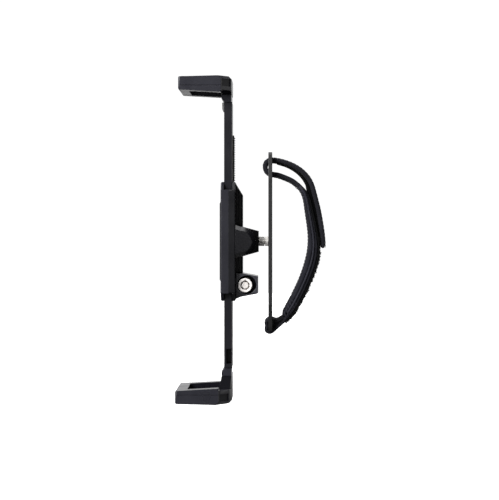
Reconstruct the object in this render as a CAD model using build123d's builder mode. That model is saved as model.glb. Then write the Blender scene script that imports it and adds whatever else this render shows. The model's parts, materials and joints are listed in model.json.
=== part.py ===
"""Adjustable locking device holder with a swivelling hand strap.

Y runs across the width.  Z is up, along the arms' travel, and Z = 0 is the axis of the strap
plate's screw.  The held device is on the -X side and the hand strap on the +X side.  Shapes are
drawn with X = 0 on the mid-plane of the telescoping arms, then saved with X = 0 on the face that
the held device rests against.  Units are millimetres.
"""
from build123d import *

import os
from dataclasses import dataclass
from math import atan2, cos, hypot, pi, radians, sin, sqrt, tan

# ---------------------------------------------------------------- driving dimensions
ARM_HALF_T = 3.4            # arms are 6.8 thick, centred on X = 0
ARM_HALF_W = 20.0
SLIDE_GAP = 0.1             # clearance of the arms in their channel
TRAVEL = 30.0               # how far each arm slides in

SHELL_FRONT = -6.2
SHELL_REAR = 6.3
SEAM_X = 0.5
SHELL_HALF_W = 28.0
SHELL_SIDE_Z = 44.0         # the side faces end here, then the corners slope in
SHELL_END_Z = 50.7
PAD_T = 0.9

SPINE_REAR = 12.4
SPINE_TOP_Z = 49.6
SPINE_SLOPE_Z = 39.5        # the sloped top meets the spine's rear face here
SPINE_HALF_W = 11.0
SPINE_STEP_REAR = 8.3
SPINE_STEP_HALF_W = 15.0
SPINE_BOTTOM_Z = -27.0

BOSS_REAR = 25.95

LOCK_X = 14.5
LOCK_Z = -37.2
LOCK_FACE_Y = -20.6
BLOCK_NEAR_Y = -20.0
BLOCK_FAR_Y = 16.0
BARREL_R = 5.5
BARREL_FACE_R = 6.0
KEYWAY_R = 3.95
CAM_Y = 4.2
CAM_T = 2.6
CAM_R = 7.1
CAM_HUB_R = 4.4
CAM_NOSE_R = 2.0

RACK_ROOT_X = 4.8           # ratchet rack: strip from the arm's rear face, teeth behind it
RACK_TIP_X = 5.7
RACK_HALF_W = 4.0
RACK_PITCH = 2.0
RACK_TOP_Z = 91.0
RACK_BOTTOM_Z = -36.0

PAWL_X = 9.0
PAWL_Z = -17.5
PAWL_HUB_R = 2.4
PAWL_PIN_R = 1.25
PAWL_PIN_HALF_L = 9.5
PAWL_NEAR_Y = -3.2
PAWL_FAR_Y = 7.4
PAWL_SWING = 6.0            # degrees from clear of the rack to fully in mesh
CAVITY_GAP = 0.4

MODULE = 1.0                # sync pinion and the two tongue racks
PINION_TEETH = 12
PRESSURE_ANGLE = radians(25)
ADDENDUM = 0.8
DEDENDUM = 1.05
BACKLASH = 0.2
PINION_HALF_T = 1.9
PINION_PIN_R = 2.0
PINION_PIN_HEAD_R = 3.0
TONGUE_HALF_T = 2.0
TONGUE_OUTER_Y = 11.0
TONGUE_END_Z = 10.0         # tongues reach this far past the pinion's axis
ARM_INNER_Z = 40.0          # the arms' full-width part starts here

JAW_HALF_W = 80.0 / 2
JAW_WALL = 12.0
JAW_SKIN = 2.6
JAW_CORNER_HALF_W = 27.0    # the root block's sides turn inward to here
JAW_REAR_HALF_W = 21.0
UPPER_COLLAR_Z = 118.8
LOWER_COLLAR_Z = -108.0
COLLAR_FRONT = -5.5
COLLAR_REAR = 2.9
COLLAR_T = 6.2
COLLAR_HALF_W = 21.5
SOCKET_HALF_T = 1.6
SOCKET_HALF_W = 16.0
SOCKET_DEPTH = 12.0
JAW_SCREW_Y = 9.0
JAW_SCREW_R = 1.25
JAW_SCREW_HEAD_R = 1.9
JAW_SCREW_LIFT = 4.2        # the screws' distance from the collar's open end

PLATE_FRONT = 34.3
PLATE_REAR = 37.6
PLATE_EDGE = 0.15
PLATE_HALF_W = 30.0
PLATE_END_HALF_W = 24.5
PLATE_SIDE_Z = 53.0         # the plate narrows from here to its ends
PLATE_HALF_H = 76.0
SLOT_HALF_W = 21.0
STUD_R = 2.5
STUD_HEAD_R = 4.6
RUNNING_GAP = 0.05
NUT_FLATS = 8.0

STRAP_HALF_W = 19.0
PAD_HALF_W = 20.0
WEB_T = 4.2
LOOP_T = 1.2
SEWN_GAP = 0.3              # air left between the sewn layers

REST_FACE_X = SHELL_FRONT - PAD_T

os.makedirs("parts", exist_ok=True)


def save(piece, name):
    """Label a finished piece and write it as one STEP file, with X = 0 on the rest face."""
    placed = Pos(-REST_FACE_X, 0, 0) * piece
    placed.label = name
    export_step(placed, f"parts/{name}.step")


def span(low_x, high_x, low_y, high_y, low_z, high_z, mode=Mode.ADD):
    """A box given by its limits, inside the current part."""
    with Locations(((low_x + high_x) / 2, (low_y + high_y) / 2, (low_z + high_z) / 2)):
        Box(high_x - low_x, high_y - low_y, high_z - low_z, mode=mode)


def rod_x(radius, low_x, high_x, mode=Mode.ADD, y=0.0, z=0.0):
    """A cylinder along X between two stations."""
    with Locations(Location(((low_x + high_x) / 2, y, z), (0, 90, 0))):
        Cylinder(radius, high_x - low_x, mode=mode)


def rod_y(radius, low_y, high_y, x, z, mode=Mode.ADD):
    """A cylinder along Y between two stations."""
    with Locations(Location((x, (low_y + high_y) / 2, z), (90, 0, 0))):
        Cylinder(radius, high_y - low_y, mode=mode)


def across(half_width):
    """The sketch plane X-Z at the near side, ready to be extruded across the width."""
    return Plane((0, -half_width, 0), x_dir=(1, 0, 0), z_dir=(0, -1, 0))


# ---------------------------------------------------------------- housing shells
def shell_outline():
    """Sketch on the Y-Z plane: straight sides, ends that rise to a narrower middle."""
    rise_y = 19.0
    Polygon(
        (-SHELL_HALF_W, -SHELL_SIDE_Z),
        (-rise_y, -SHELL_END_Z),
        (rise_y, -SHELL_END_Z),
        (SHELL_HALF_W, -SHELL_SIDE_Z),
        (SHELL_HALF_W, SHELL_SIDE_Z),
        (rise_y, SHELL_END_Z),
        (-rise_y, SHELL_END_Z),
        (-SHELL_HALF_W, SHELL_SIDE_Z),
        align=None,
    )


SCREW_SPOTS = [(y, z) for y in (-24.2, 24.2) for z in (-38.0, 38.0)]
CHANNEL_X = ARM_HALF_T + SLIDE_GAP
CHANNEL_Y = ARM_HALF_W + SLIDE_GAP
RACK_SLOT_X = RACK_TIP_X + 0.2
RACK_SLOT_Y = RACK_HALF_W + 0.4
SHELL_SCREW_R = 1.25
SHELL_SCREW_HEAD_R = 2.3
SHELL_SCREW_HEAD_T = 1.6
SHELL_SCREW_TIP_X = -4.6
OPEN_ENDS = ((-SHELL_END_Z, -SHELL_SIDE_Z), (SHELL_SIDE_Z, SHELL_END_Z))
RIM_CHAMFER = 1.0
FRONT_CHAMFER = 0.9
REAR_CHAMFER = 0.6
SPINE_CHAMFER = 1.2
SPINE_OVERLAP = 0.7         # the spine is rooted this far inside the shell
PINION_LAND_R = 3.4
PINION_END_GAP = 0.1
PINION_PIN_FRONT_X = -5.2



def cut_channel(front_x, rear_x):
    """The arms' channel through one shell; at both ends it is open at the sides as well."""
    span(front_x, rear_x, -CHANNEL_Y, CHANNEL_Y, -SHELL_END_Z, SHELL_END_Z, Mode.SUBTRACT)
    for low_z, high_z in OPEN_ENDS:
        span(front_x, rear_x, -SHELL_HALF_W, SHELL_HALF_W, low_z, high_z, Mode.SUBTRACT)


with BuildPart() as front_shell:
    with BuildSketch(Plane.YZ.offset(SHELL_FRONT)):
        shell_outline()
    extrude(amount=SEAM_X - SHELL_FRONT)
    chamfer(front_shell.faces().sort_by(Axis.X)[0].edges(), FRONT_CHAMFER)
    cut_channel(-CHANNEL_X, SEAM_X)
    # bearing land that carries the pinion clear of the front wall
    rod_x(PINION_LAND_R, -CHANNEL_X, -PINION_HALF_T - PINION_END_GAP)
    rod_x(PINION_PIN_R, PINION_PIN_FRONT_X, -PINION_HALF_T, Mode.SUBTRACT)
    for y, z in SCREW_SPOTS:
        rod_x(SHELL_SCREW_R, SHELL_SCREW_TIP_X, SEAM_X, Mode.SUBTRACT, y, z)
save(front_shell.part, "front_shell")

PAWL_CAVITY = (PAWL_NEAR_Y - CAVITY_GAP, PAWL_FAR_Y + CAVITY_GAP)
PAWL_CAVITY_TOP = PAWL_Z + PAWL_HUB_R + CAVITY_GAP
PAWL_CAVITY_BOTTOM = -41.0
BOSS_SCREW_Y = 14.0
BOSS_SCREW_R = 1.5
BOSS_SCREW_HEAD_R = 2.8
BOSS_SCREW_HEAD_T = 1.6
BLOCK_SCREW_Y = 12.0
BLOCK_SCREW_ZS = (-32.0, -42.0)
WINDOW_FLOOR_X = 4.6

BOSS_ROOT_W = 48.0
BOSS_END_W = 24.0
BOSS_ROOT_HALF_H = 14.2
BOSS_END_HALF_H = 8.9
BOSS_BEVEL = 3.5
D_CENTRE_X = 10.85
D_HALF_H = 9.06
D_ROOT_HALF_H = 10.6


def boss_block():
    """The boss before drilling: a tapering block over a D-shaped bar with bevelled ends."""
    with BuildPart() as block:
        with BuildSketch(Plane.YZ.offset(SHELL_REAR)):
            Rectangle(BOSS_ROOT_W, 2 * BOSS_ROOT_HALF_H)
        with BuildSketch(Plane.YZ.offset(BOSS_REAR)):
            Rectangle(BOSS_END_W, 2 * BOSS_END_HALF_H)
        loft()
        inner_y = SHELL_HALF_W - BOSS_BEVEL
        stations = (
            (-SHELL_HALF_W, 0.0),
            (-inner_y, BOSS_BEVEL),
            (inner_y, BOSS_BEVEL),
            (SHELL_HALF_W, 0.0),
        )
        for pair in zip(stations, stations[1:]):
            for y, grow in pair:
                half_h = D_HALF_H + grow
                root_half_h = D_ROOT_HALF_H + grow
                with BuildSketch(Plane((0, y, 0), x_dir=(1, 0, 0), z_dir=(0, -1, 0))):
                    with BuildLine():
                        Polyline(
                            (D_CENTRE_X, half_h),
                            (SHELL_REAR, root_half_h),
                            (SHELL_REAR, -root_half_h),
                            (D_CENTRE_X, -half_h),
                        )
                        ThreePointArc((D_CENTRE_X, -half_h), (D_CENTRE_X + half_h, 0), (D_CENTRE_X, half_h))
                    make_face()
            loft()
    return block.part


with BuildPart() as rear_shell:
    with BuildSketch(Plane.YZ.offset(SEAM_X)):
        shell_outline()
    extrude(amount=SHELL_REAR - SEAM_X)
    chamfer(rear_shell.faces().sort_by(Axis.X)[-1].edges(), REAR_CHAMFER)
    for half_w, rear_x in ((SPINE_STEP_HALF_W, SPINE_STEP_REAR), (SPINE_HALF_W, SPINE_REAR)):
        slope = (SPINE_TOP_Z - SPINE_SLOPE_Z) / (SPINE_REAR - SHELL_REAR)
        with BuildSketch(across(half_w)):
            Polygon(
                (SHELL_REAR - SPINE_OVERLAP, SPINE_BOTTOM_Z),
                (rear_x, SPINE_BOTTOM_Z),
                (rear_x, SPINE_TOP_Z - slope * (rear_x - SHELL_REAR)),
                (SHELL_REAR, SPINE_TOP_Z),
                (SHELL_REAR - SPINE_OVERLAP, SPINE_TOP_Z),
                align=None,
            )
        extrude(amount=-2 * half_w)
    spine_sides = rear_shell.edges().filter_by(Axis.Z).group_by(Axis.X)[-1]
    chamfer(spine_sides, SPINE_CHAMFER)
    cut_channel(SEAM_X, CHANNEL_X)
    # bevelled rims where the side walls end
    rim_edges = (
        rear_shell.edges()
        .filter_by(Axis.X)
        .filter_by(lambda edge: abs(abs(edge.center().Y) - SHELL_HALF_W) < RIM_CHAMFER / 2)
        .filter_by(lambda edge: abs(abs(edge.center().Z) - SHELL_SIDE_Z) < RIM_CHAMFER / 2)
    )
    chamfer(rim_edges, RIM_CHAMFER)
    span(SEAM_X, RACK_SLOT_X, -RACK_SLOT_Y, RACK_SLOT_Y, -SHELL_END_Z, SHELL_END_Z, Mode.SUBTRACT)
    # room for the pawl: a window in the rear wall and a pocket in the spine
    span(WINDOW_FLOOR_X, SHELL_REAR, *PAWL_CAVITY, PAWL_CAVITY_BOTTOM, PAWL_CAVITY_TOP, Mode.SUBTRACT)
    pocket_rear_x = PAWL_X + PAWL_HUB_R + CAVITY_GAP
    span(SHELL_REAR, pocket_rear_x, *PAWL_CAVITY, SPINE_BOTTOM_Z, PAWL_CAVITY_TOP, Mode.SUBTRACT)
    rod_y(PAWL_PIN_R, -PAWL_PIN_HALF_L, PAWL_PIN_HALF_L, PAWL_X, PAWL_Z, Mode.SUBTRACT)
    for y, z in SCREW_SPOTS:
        rod_x(SHELL_SCREW_R, SEAM_X, SHELL_REAR, Mode.SUBTRACT, y, z)
        rod_x(SHELL_SCREW_HEAD_R, SHELL_REAR - SHELL_SCREW_HEAD_T, SHELL_REAR, Mode.SUBTRACT, y, z)
    wall_screws = [(y, 0.0) for y in (-BOSS_SCREW_Y, BOSS_SCREW_Y)]
    wall_screws += [(BLOCK_SCREW_Y, z) for z in BLOCK_SCREW_ZS]
    for y, z in wall_screws:
        rod_x(BOSS_SCREW_R, ARM_HALF_T, SPINE_REAR, Mode.SUBTRACT, y, z)
        rod_x(BOSS_SCREW_HEAD_R, ARM_HALF_T, CHANNEL_X + BOSS_SCREW_HEAD_T, Mode.SUBTRACT, y, z)
    # the spine stops against the boss
    add(boss_block(), mode=Mode.SUBTRACT)
save(rear_shell.part, "rear_shell")

REST_HALF_W = 22.0
REST_HALF_H = 34.0
REST_END_SLOPE = 1.6

with BuildPart() as front_pad:
    with BuildSketch(across(REST_HALF_W)):
        Polygon(
            (SHELL_FRONT, -REST_HALF_H),
            (SHELL_FRONT, REST_HALF_H),
            (REST_FACE_X, REST_HALF_H - REST_END_SLOPE),
            (REST_FACE_X, -REST_HALF_H + REST_END_SLOPE),
            align=None,
        )
    extrude(amount=-2 * REST_HALF_W)
save(front_pad.part, "front_pad")

# ---------------------------------------------------------------- boss that carries the strap plate
INSERT_R = 3.5
INSERT_FRONT = 16.0
STUD_TIP_X = 11.5
BOSS_SCREW_HOLE_X = 15.0
BOSS_SCREW_TIP_X = 14.5
BLOCK_SCREW_HOLE_X = 14.0
BLOCK_SCREW_TIP_X = 13.5
SOCKET_SHARE = 0.6          # hex and cross sockets, as a share of the shank's radius

with BuildPart() as mount_boss:
    add(boss_block())
    rod_x(INSERT_R, INSERT_FRONT, BOSS_REAR, Mode.SUBTRACT)
    rod_x(STUD_R, STUD_TIP_X, INSERT_FRONT, Mode.SUBTRACT)
    for y in (-BOSS_SCREW_Y, BOSS_SCREW_Y):
        rod_x(BOSS_SCREW_R, SHELL_REAR, BOSS_SCREW_HOLE_X, Mode.SUBTRACT, y)
save(mount_boss.part, "mount_boss")

with BuildPart() as boss_insert:
    rod_x(INSERT_R, INSERT_FRONT, BOSS_REAR)
    rod_x(STUD_R, INSERT_FRONT, BOSS_REAR, Mode.SUBTRACT)
save(boss_insert.part, "boss_insert")


def countersunk(front_x, tip_x, y, z, shank_r, head_r, head_t):
    """A flat-head screw along +X: the head is a short drum set into its seat."""
    rod_x(head_r, front_x, front_x + head_t, Mode.ADD, y, z)
    rod_x(shank_r, front_x, tip_x, Mode.ADD, y, z)
    with Locations(Location((front_x, y, z), (0, 90, 0))):
        Cylinder(shank_r * SOCKET_SHARE, head_t, mode=Mode.SUBTRACT)


with BuildPart() as boss_screws:
    for y in (-BOSS_SCREW_Y, BOSS_SCREW_Y):
        countersunk(CHANNEL_X, BOSS_SCREW_TIP_X, y, 0, BOSS_SCREW_R, BOSS_SCREW_HEAD_R, BOSS_SCREW_HEAD_T)
save(boss_screws.part, "boss_screws")

with BuildPart() as lock_block_screws:
    for z in BLOCK_SCREW_ZS:
        tip_x, head = BLOCK_SCREW_TIP_X, (BOSS_SCREW_HEAD_R, BOSS_SCREW_HEAD_T)
        countersunk(CHANNEL_X, tip_x, BLOCK_SCREW_Y, z, BOSS_SCREW_R, *head)
save(lock_block_screws.part, "lock_block_screws")

with BuildPart() as housing_screws:
    for y, z in SCREW_SPOTS:
        head_front = SHELL_REAR - SHELL_SCREW_HEAD_T
        rod_x(SHELL_SCREW_R, SHELL_SCREW_TIP_X, head_front, Mode.ADD, y, z)
        rod_x(SHELL_SCREW_HEAD_R - 0.1, head_front, SHELL_REAR - 0.2, Mode.ADD, y, z)
        with BuildSketch(Plane.YZ.offset(SHELL_REAR - 1.0)):
            with Locations((y, z)):
                RegularPolygon(1.2, 6)
        extrude(amount=1.0, mode=Mode.SUBTRACT)
save(housing_screws.part, "housing_screws")

# ---------------------------------------------------------------- lock block and tubular lock
BLOCK_REAR_X = 25.4
BLOCK_UNDER_Z = -43.9       # the near face slopes inward below here
SLEEVE_T = 0.3
BLOCK_GAP = 0.6             # shadow gap along the housing
BLOCK_GAP_DEPTH = 1.5
CAM_ROOM = 2.6
RECESS_X = 16.0
RECESS_Z = -36.8
RECESS_R = 8.0
RECESS_DEPTH = 9.0
FLANGE_T = 3.5
GRUB_Y = -10.0
GRUB_R = 1.5
GRUB_BOTTOM_Z = -45.6
CAVITY_BACK_X = 9.8

with BuildPart() as lock_block:
    with BuildSketch(across(-BLOCK_NEAR_Y)):
        Polygon(
            (SHELL_REAR, -27.0),
            (SPINE_REAR, -27.2),
            (BLOCK_REAR_X, -29.6),
            (BLOCK_REAR_X, -44.4),
            (11.3, -47.1),
            (SHELL_REAR, -49.2),
            align=None,
        )
    extrude(amount=BLOCK_NEAR_Y - BLOCK_FAR_Y)
    rear_edges = lock_block.edges().filter_by(Axis.Y).group_by(Axis.X)[-1]
    fillet(rear_edges, 1.0)
    # the near face ends in a slope that runs under the block
    with BuildSketch(Plane.YZ.offset(SHELL_REAR)):
        Polygon(
            (BLOCK_NEAR_Y - 1, BLOCK_UNDER_Z),
            (BLOCK_NEAR_Y, BLOCK_UNDER_Z),
            (BLOCK_NEAR_Y + 7, BLOCK_UNDER_Z - 7.1),
            (BLOCK_NEAR_Y - 1, BLOCK_UNDER_Z - 7.1),
            align=None,
        )
    extrude(amount=BLOCK_REAR_X, mode=Mode.SUBTRACT)
    # crescent recess beside the lock, with a sleeve left standing round the barrel
    rod_y(RECESS_R, BLOCK_NEAR_Y - 1, BLOCK_NEAR_Y + RECESS_DEPTH, RECESS_X, RECESS_Z, Mode.SUBTRACT)
    sleeve_r = BARREL_FACE_R + SLEEVE_T
    rod_y(sleeve_r, BLOCK_NEAR_Y + FLANGE_T, BLOCK_NEAR_Y + RECESS_DEPTH, LOCK_X, LOCK_Z)
    gap_x = (SHELL_REAR, SHELL_REAR + BLOCK_GAP)
    span(*gap_x, BLOCK_NEAR_Y, BLOCK_NEAR_Y + BLOCK_GAP_DEPTH, -50, -26, Mode.SUBTRACT)
    rod_y(BARREL_R, BLOCK_NEAR_Y, CAM_Y, LOCK_X, LOCK_Z, Mode.SUBTRACT)
    rod_y(CAM_R + 0.5, CAM_Y - CAVITY_GAP, CAM_Y + CAM_T + CAM_ROOM, LOCK_X, LOCK_Z, Mode.SUBTRACT)
    span(SHELL_REAR, CAVITY_BACK_X, *PAWL_CAVITY, PAWL_CAVITY_BOTTOM, SPINE_BOTTOM_Z + 1, Mode.SUBTRACT)
    for z in BLOCK_SCREW_ZS:
        rod_x(BOSS_SCREW_R, SHELL_REAR, BLOCK_SCREW_HOLE_X, Mode.SUBTRACT, BLOCK_SCREW_Y, z)
    with Locations((LOCK_X, GRUB_Y, (LOCK_Z - BARREL_R + GRUB_BOTTOM_Z - 2) / 2)):
        Cylinder(GRUB_R, LOCK_Z - BARREL_R - GRUB_BOTTOM_Z + 2, mode=Mode.SUBTRACT)
save(lock_block.part, "lock_block")

with BuildPart() as lock_grub_screw:
    grub_top = LOCK_Z - BARREL_R
    with Locations((LOCK_X, GRUB_Y, (grub_top + GRUB_BOTTOM_Z) / 2)):
        Cylinder(GRUB_R, grub_top - GRUB_BOTTOM_Z)
    with BuildSketch(Plane.XY.offset(GRUB_BOTTOM_Z)):
        with Locations((LOCK_X, GRUB_Y)):
            RegularPolygon(0.8, 6)
    extrude(amount=1.4, mode=Mode.SUBTRACT)
save(lock_grub_screw.part, "lock_grub_screw")

NOTCH_HALF_W = 0.7

with BuildPart() as lock_barrel:
    rod_y(BARREL_FACE_R, LOCK_FACE_Y, BLOCK_NEAR_Y + FLANGE_T, LOCK_X, LOCK_Z)
    face_rim = lock_barrel.faces().sort_by(Axis.Y)[0].edges()
    fillet(face_rim, 0.5)
    rod_y(BARREL_R, BLOCK_NEAR_Y + FLANGE_T, CAM_Y - 0.6, LOCK_X, LOCK_Z)
    rod_y(KEYWAY_R, LOCK_FACE_Y - 1, CAM_Y, LOCK_X, LOCK_Z, Mode.SUBTRACT)
    # locating notch for the key's lug at the top of the keyway
    notch_z = LOCK_Z + KEYWAY_R
    notch_x = (LOCK_X - NOTCH_HALF_W, LOCK_X + NOTCH_HALF_W)
    span(*notch_x, LOCK_FACE_Y - 1, LOCK_FACE_Y + 2, notch_z - 0.5, notch_z + 0.7, Mode.SUBTRACT)
save(lock_barrel.part, "lock_barrel")

PLUG_FACE_Y = LOCK_FACE_Y + 3.0
PLUG_POST_R = 2.75
PLUG_NECK_R = 2.2
SLOT_HALF_T = 0.5
CAM_SCREW_R = 1.0
CAM_SCREW_HEAD_R = 3.2
CAM_SCREW_HEAD_T = 1.4

with BuildPart() as lock_plug:
    rod_y(KEYWAY_R - RUNNING_GAP, PLUG_FACE_Y, CAM_Y - 0.1, LOCK_X, LOCK_Z)
    rod_y(PLUG_POST_R, LOCK_FACE_Y + 0.3, PLUG_FACE_Y, LOCK_X, LOCK_Z)
    fillet(lock_plug.faces().sort_by(Axis.Y)[0].edges(), 0.3)
    # flat slot in the post, turned with the key
    slot_x = (LOCK_X - SLOT_HALF_T, LOCK_X + SLOT_HALF_T)
    span(*slot_x, LOCK_FACE_Y, LOCK_FACE_Y + 1.2, LOCK_Z + 1.6, LOCK_Z + 3, Mode.SUBTRACT)
    rod_y(PLUG_NECK_R, CAM_Y - 0.1, CAM_Y + CAM_T, LOCK_X, LOCK_Z)
    rod_y(CAM_SCREW_R, CAM_Y - 2.0, CAM_Y + CAM_T, LOCK_X, LOCK_Z, Mode.SUBTRACT)
save(lock_plug.part, "lock_plug")

with BuildPart() as lock_cam:
    with BuildSketch(Plane((LOCK_X, CAM_Y, LOCK_Z), x_dir=(1, 0, 0), z_dir=(0, -1, 0))):
        Circle(CAM_HUB_R)
        with Locations((0, -(CAM_R - CAM_NOSE_R) / 2)):
            Rectangle(2 * CAM_NOSE_R, CAM_R - CAM_NOSE_R)
        with Locations((0, -(CAM_R - CAM_NOSE_R))):
            Circle(CAM_NOSE_R)
        Circle(PLUG_NECK_R, mode=Mode.SUBTRACT)
    extrude(amount=-CAM_T)
save(lock_cam.part, "lock_cam")

with BuildPart() as cam_screw:
    head_y = CAM_Y + CAM_T
    rod_y(CAM_SCREW_R, CAM_Y - 2.0, head_y, LOCK_X, LOCK_Z)
    rod_y(CAM_SCREW_HEAD_R, head_y, head_y + CAM_SCREW_HEAD_T, LOCK_X, LOCK_Z)
    slot_y = (head_y + CAM_SCREW_HEAD_T / 2, head_y + 2)
    span(LOCK_X - 3, LOCK_X + 3, *slot_y, LOCK_Z - 0.4, LOCK_Z + 0.4, Mode.SUBTRACT)
save(cam_screw.part, "cam_screw")

# ---------------------------------------------------------------- pawl that blocks the ratchet rack
# Drawn in mesh, with its tips just clear of the rack's roots, then swung back to rest.
NOSE_TOP_Z = -26.38
NOSE_TEETH = 4
NOSE_TIP_X = RACK_ROOT_X + 0.15
NOSE_TIP_HALF = 0.15
NOSE_ROOT_HALF = 0.38
MESH_FRONT_X = RACK_TIP_X + 0.1
MESH_BACK_X = 7.4
TAIL_BACK_X = 7.1
TAIL_NEAR_Y = 4.4
TAIL_TOP_Z = -33.0
TAIL_BOTTOM_Z = -38.8

with BuildPart() as pawl_in_mesh:
    rod_y(PAWL_HUB_R, PAWL_NEAR_Y, PAWL_FAR_Y, PAWL_X, PAWL_Z)
    with BuildSketch(across(-PAWL_NEAR_Y)):
        Polygon(
            (PAWL_X - PAWL_HUB_R, PAWL_Z),
            (MESH_FRONT_X, PAWL_Z - 5.5),
            (MESH_FRONT_X, TAIL_TOP_Z - 0.6),
            (MESH_BACK_X, TAIL_TOP_Z - 0.6),
            (MESH_BACK_X, PAWL_Z - 8.0),
            (PAWL_X + 1.0, PAWL_Z - 2.0),
            align=None,
        )
    extrude(amount=PAWL_NEAR_Y - PAWL_FAR_Y)
    span(MESH_FRONT_X, TAIL_BACK_X, TAIL_NEAR_Y, PAWL_FAR_Y, TAIL_BOTTOM_Z, TAIL_TOP_Z)
    with BuildSketch(across(-PAWL_NEAR_Y)):
        for step in range(NOSE_TEETH):
            tooth_z = NOSE_TOP_Z - step * RACK_PITCH
            Polygon(
                (MESH_FRONT_X, tooth_z + NOSE_ROOT_HALF),
                (NOSE_TIP_X, tooth_z + NOSE_TIP_HALF),
                (NOSE_TIP_X, tooth_z - NOSE_TIP_HALF),
                (MESH_FRONT_X, tooth_z - NOSE_ROOT_HALF),
                align=None,
            )
    extrude(amount=PAWL_NEAR_Y - RACK_HALF_W)
    rod_y(PAWL_PIN_R + RUNNING_GAP, PAWL_NEAR_Y, PAWL_FAR_Y, PAWL_X, PAWL_Z, Mode.SUBTRACT)
PAWL_AXIS = Axis((PAWL_X, 0, PAWL_Z), (0, 1, 0))
save(pawl_in_mesh.part.rotate(PAWL_AXIS, -PAWL_SWING), "pawl")

with BuildPart() as pawl_pin:
    rod_y(PAWL_PIN_R, -PAWL_PIN_HALF_L, PAWL_PIN_HALF_L, PAWL_X, PAWL_Z)
save(pawl_pin.part, "pawl_pin")

with BuildPart() as pawl_spring:
    with BuildSketch(across(-4.9)):
        Polygon((4.6, -17), (4.9, -17), (4.9, -22), (5.7, -27), (5.4, -27.2), (4.6, -22.2), align=None)
    extrude(amount=-2.4)
save(pawl_spring.part, "pawl_spring")

# ---------------------------------------------------------------- synchronising pinion
PITCH_R = MODULE * PINION_TEETH / 2
BASE_R = PITCH_R * cos(PRESSURE_ANGLE)
TIP_R = PITCH_R + ADDENDUM * MODULE
ROOT_R = PITCH_R - DEDENDUM * MODULE


def involute_roll(radius):
    """Polar angle swept by the involute between the base circle and a radius."""
    roll = sqrt(max((radius / BASE_R) ** 2 - 1, 0))
    return roll - atan2(roll, 1)


def gear_outline():
    """Corner points of the pinion, flank by flank."""
    half_tooth = (pi / 2 - BACKLASH / MODULE) / PINION_TEETH
    flank_radii = [max(ROOT_R, BASE_R) + (TIP_R - max(ROOT_R, BASE_R)) * step / 4 for step in range(5)]
    points = []
    for tooth in range(PINION_TEETH):
        middle = 2 * pi * (tooth + 0.5) / PINION_TEETH
        rising = []
        for radius in flank_radii:
            offset_angle = half_tooth + involute_roll(PITCH_R) - involute_roll(radius)
            rising.append((radius, offset_angle))
        rising.insert(0, (ROOT_R, rising[0][1]))
        points += [(r * cos(middle - a), r * sin(middle - a)) for r, a in rising]
        points += [(r * cos(middle + a), r * sin(middle + a)) for r, a in reversed(rising)]
    return points


with BuildPart() as sync_pinion:
    with BuildSketch(Plane.YZ.offset(-PINION_HALF_T)):
        Polygon(*gear_outline(), align=None)
        Circle(PINION_PIN_R + RUNNING_GAP, mode=Mode.SUBTRACT)
    extrude(amount=2 * PINION_HALF_T)
save(sync_pinion.part, "sync_pinion")

with BuildPart() as pinion_pin:
    head_x = PINION_HALF_T + PINION_END_GAP
    rod_x(PINION_PIN_R, PINION_PIN_FRONT_X, head_x)
    rod_x(PINION_PIN_HEAD_R, head_x, head_x + 1.0)
save(pinion_pin.part, "pinion_pin")

# ---------------------------------------------------------------- telescoping arms
TOOTH_PITCH = pi * MODULE
POCKET_DEPTH = 2 * TRAVEL + TONGUE_END_Z - ARM_INNER_Z + 2.0


def arm_body(up, collar_z):
    """An arm with its full-width part, its jaw socket end and its rack tongue.

    up is +1 on the upper arm, whose tongue lies on +Y, and -1 on the lower arm.
    """
    pitch_y = up * PITCH_R
    root_y = up * (PITCH_R + DEDENDUM * MODULE)
    tip_y = pitch_y - up * ADDENDUM * MODULE
    slope = tan(PRESSURE_ANGLE)
    half_pitch_line = (TOOTH_PITCH / 2 - BACKLASH) / 2
    root_half = half_pitch_line + DEDENDUM * MODULE * slope
    tip_half = half_pitch_line - ADDENDUM * MODULE * slope
    last_tooth = int((ARM_INNER_Z - root_half) / TOOTH_PITCH)
    inner_z = up * ARM_INNER_Z
    socket_z = collar_z + up * SOCKET_DEPTH
    with BuildPart() as body:
        low_z, high_z = sorted((inner_z, collar_z))
        span(-ARM_HALF_T, ARM_HALF_T, -ARM_HALF_W, ARM_HALF_W, low_z, high_z)
        low_z, high_z = sorted((collar_z, socket_z))
        span(-SOCKET_HALF_T, SOCKET_HALF_T, -SOCKET_HALF_W, SOCKET_HALF_W, low_z, high_z)
        # pocket for the other arm's tongue
        low_z, high_z = sorted((inner_z, inner_z + up * POCKET_DEPTH))
        low_y, high_y = sorted((-up * (TONGUE_OUTER_Y + 0.3), -up * (PITCH_R - ADDENDUM - 0.3)))
        gap_x = TONGUE_HALF_T + 0.2
        span(-gap_x, gap_x, low_y, high_y, low_z, high_z, Mode.SUBTRACT)
        # tongue with rack teeth facing the pinion
        low_z, high_z = sorted((-up * TONGUE_END_Z, up * (ARM_INNER_Z + 1)))
        low_y, high_y = sorted((root_y, up * TONGUE_OUTER_Y))
        span(-TONGUE_HALF_T, TONGUE_HALF_T, low_y, high_y, low_z, high_z)
        with BuildSketch(Plane.YZ.offset(-TONGUE_HALF_T)):
            for index in range(-2, last_tooth + 1):
                middle = up * index * TOOTH_PITCH
                Polygon(
                    (root_y, middle + root_half),
                    (tip_y, middle + tip_half),
                    (tip_y, middle - tip_half),
                    (root_y, middle - root_half),
                    align=None,
                )
        extrude(amount=2 * TONGUE_HALF_T)
        screw_z = collar_z + up * JAW_SCREW_LIFT
        for y in (-JAW_SCREW_Y, JAW_SCREW_Y):
            rod_x(JAW_SCREW_R, -SOCKET_HALF_T, SOCKET_HALF_T, Mode.SUBTRACT, y, screw_z)
    return body.part


RIVET_R = 1.2
RIVET_FRONT_X = 1.2
RIVET_ZS = (47.0, 83.0)

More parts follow.
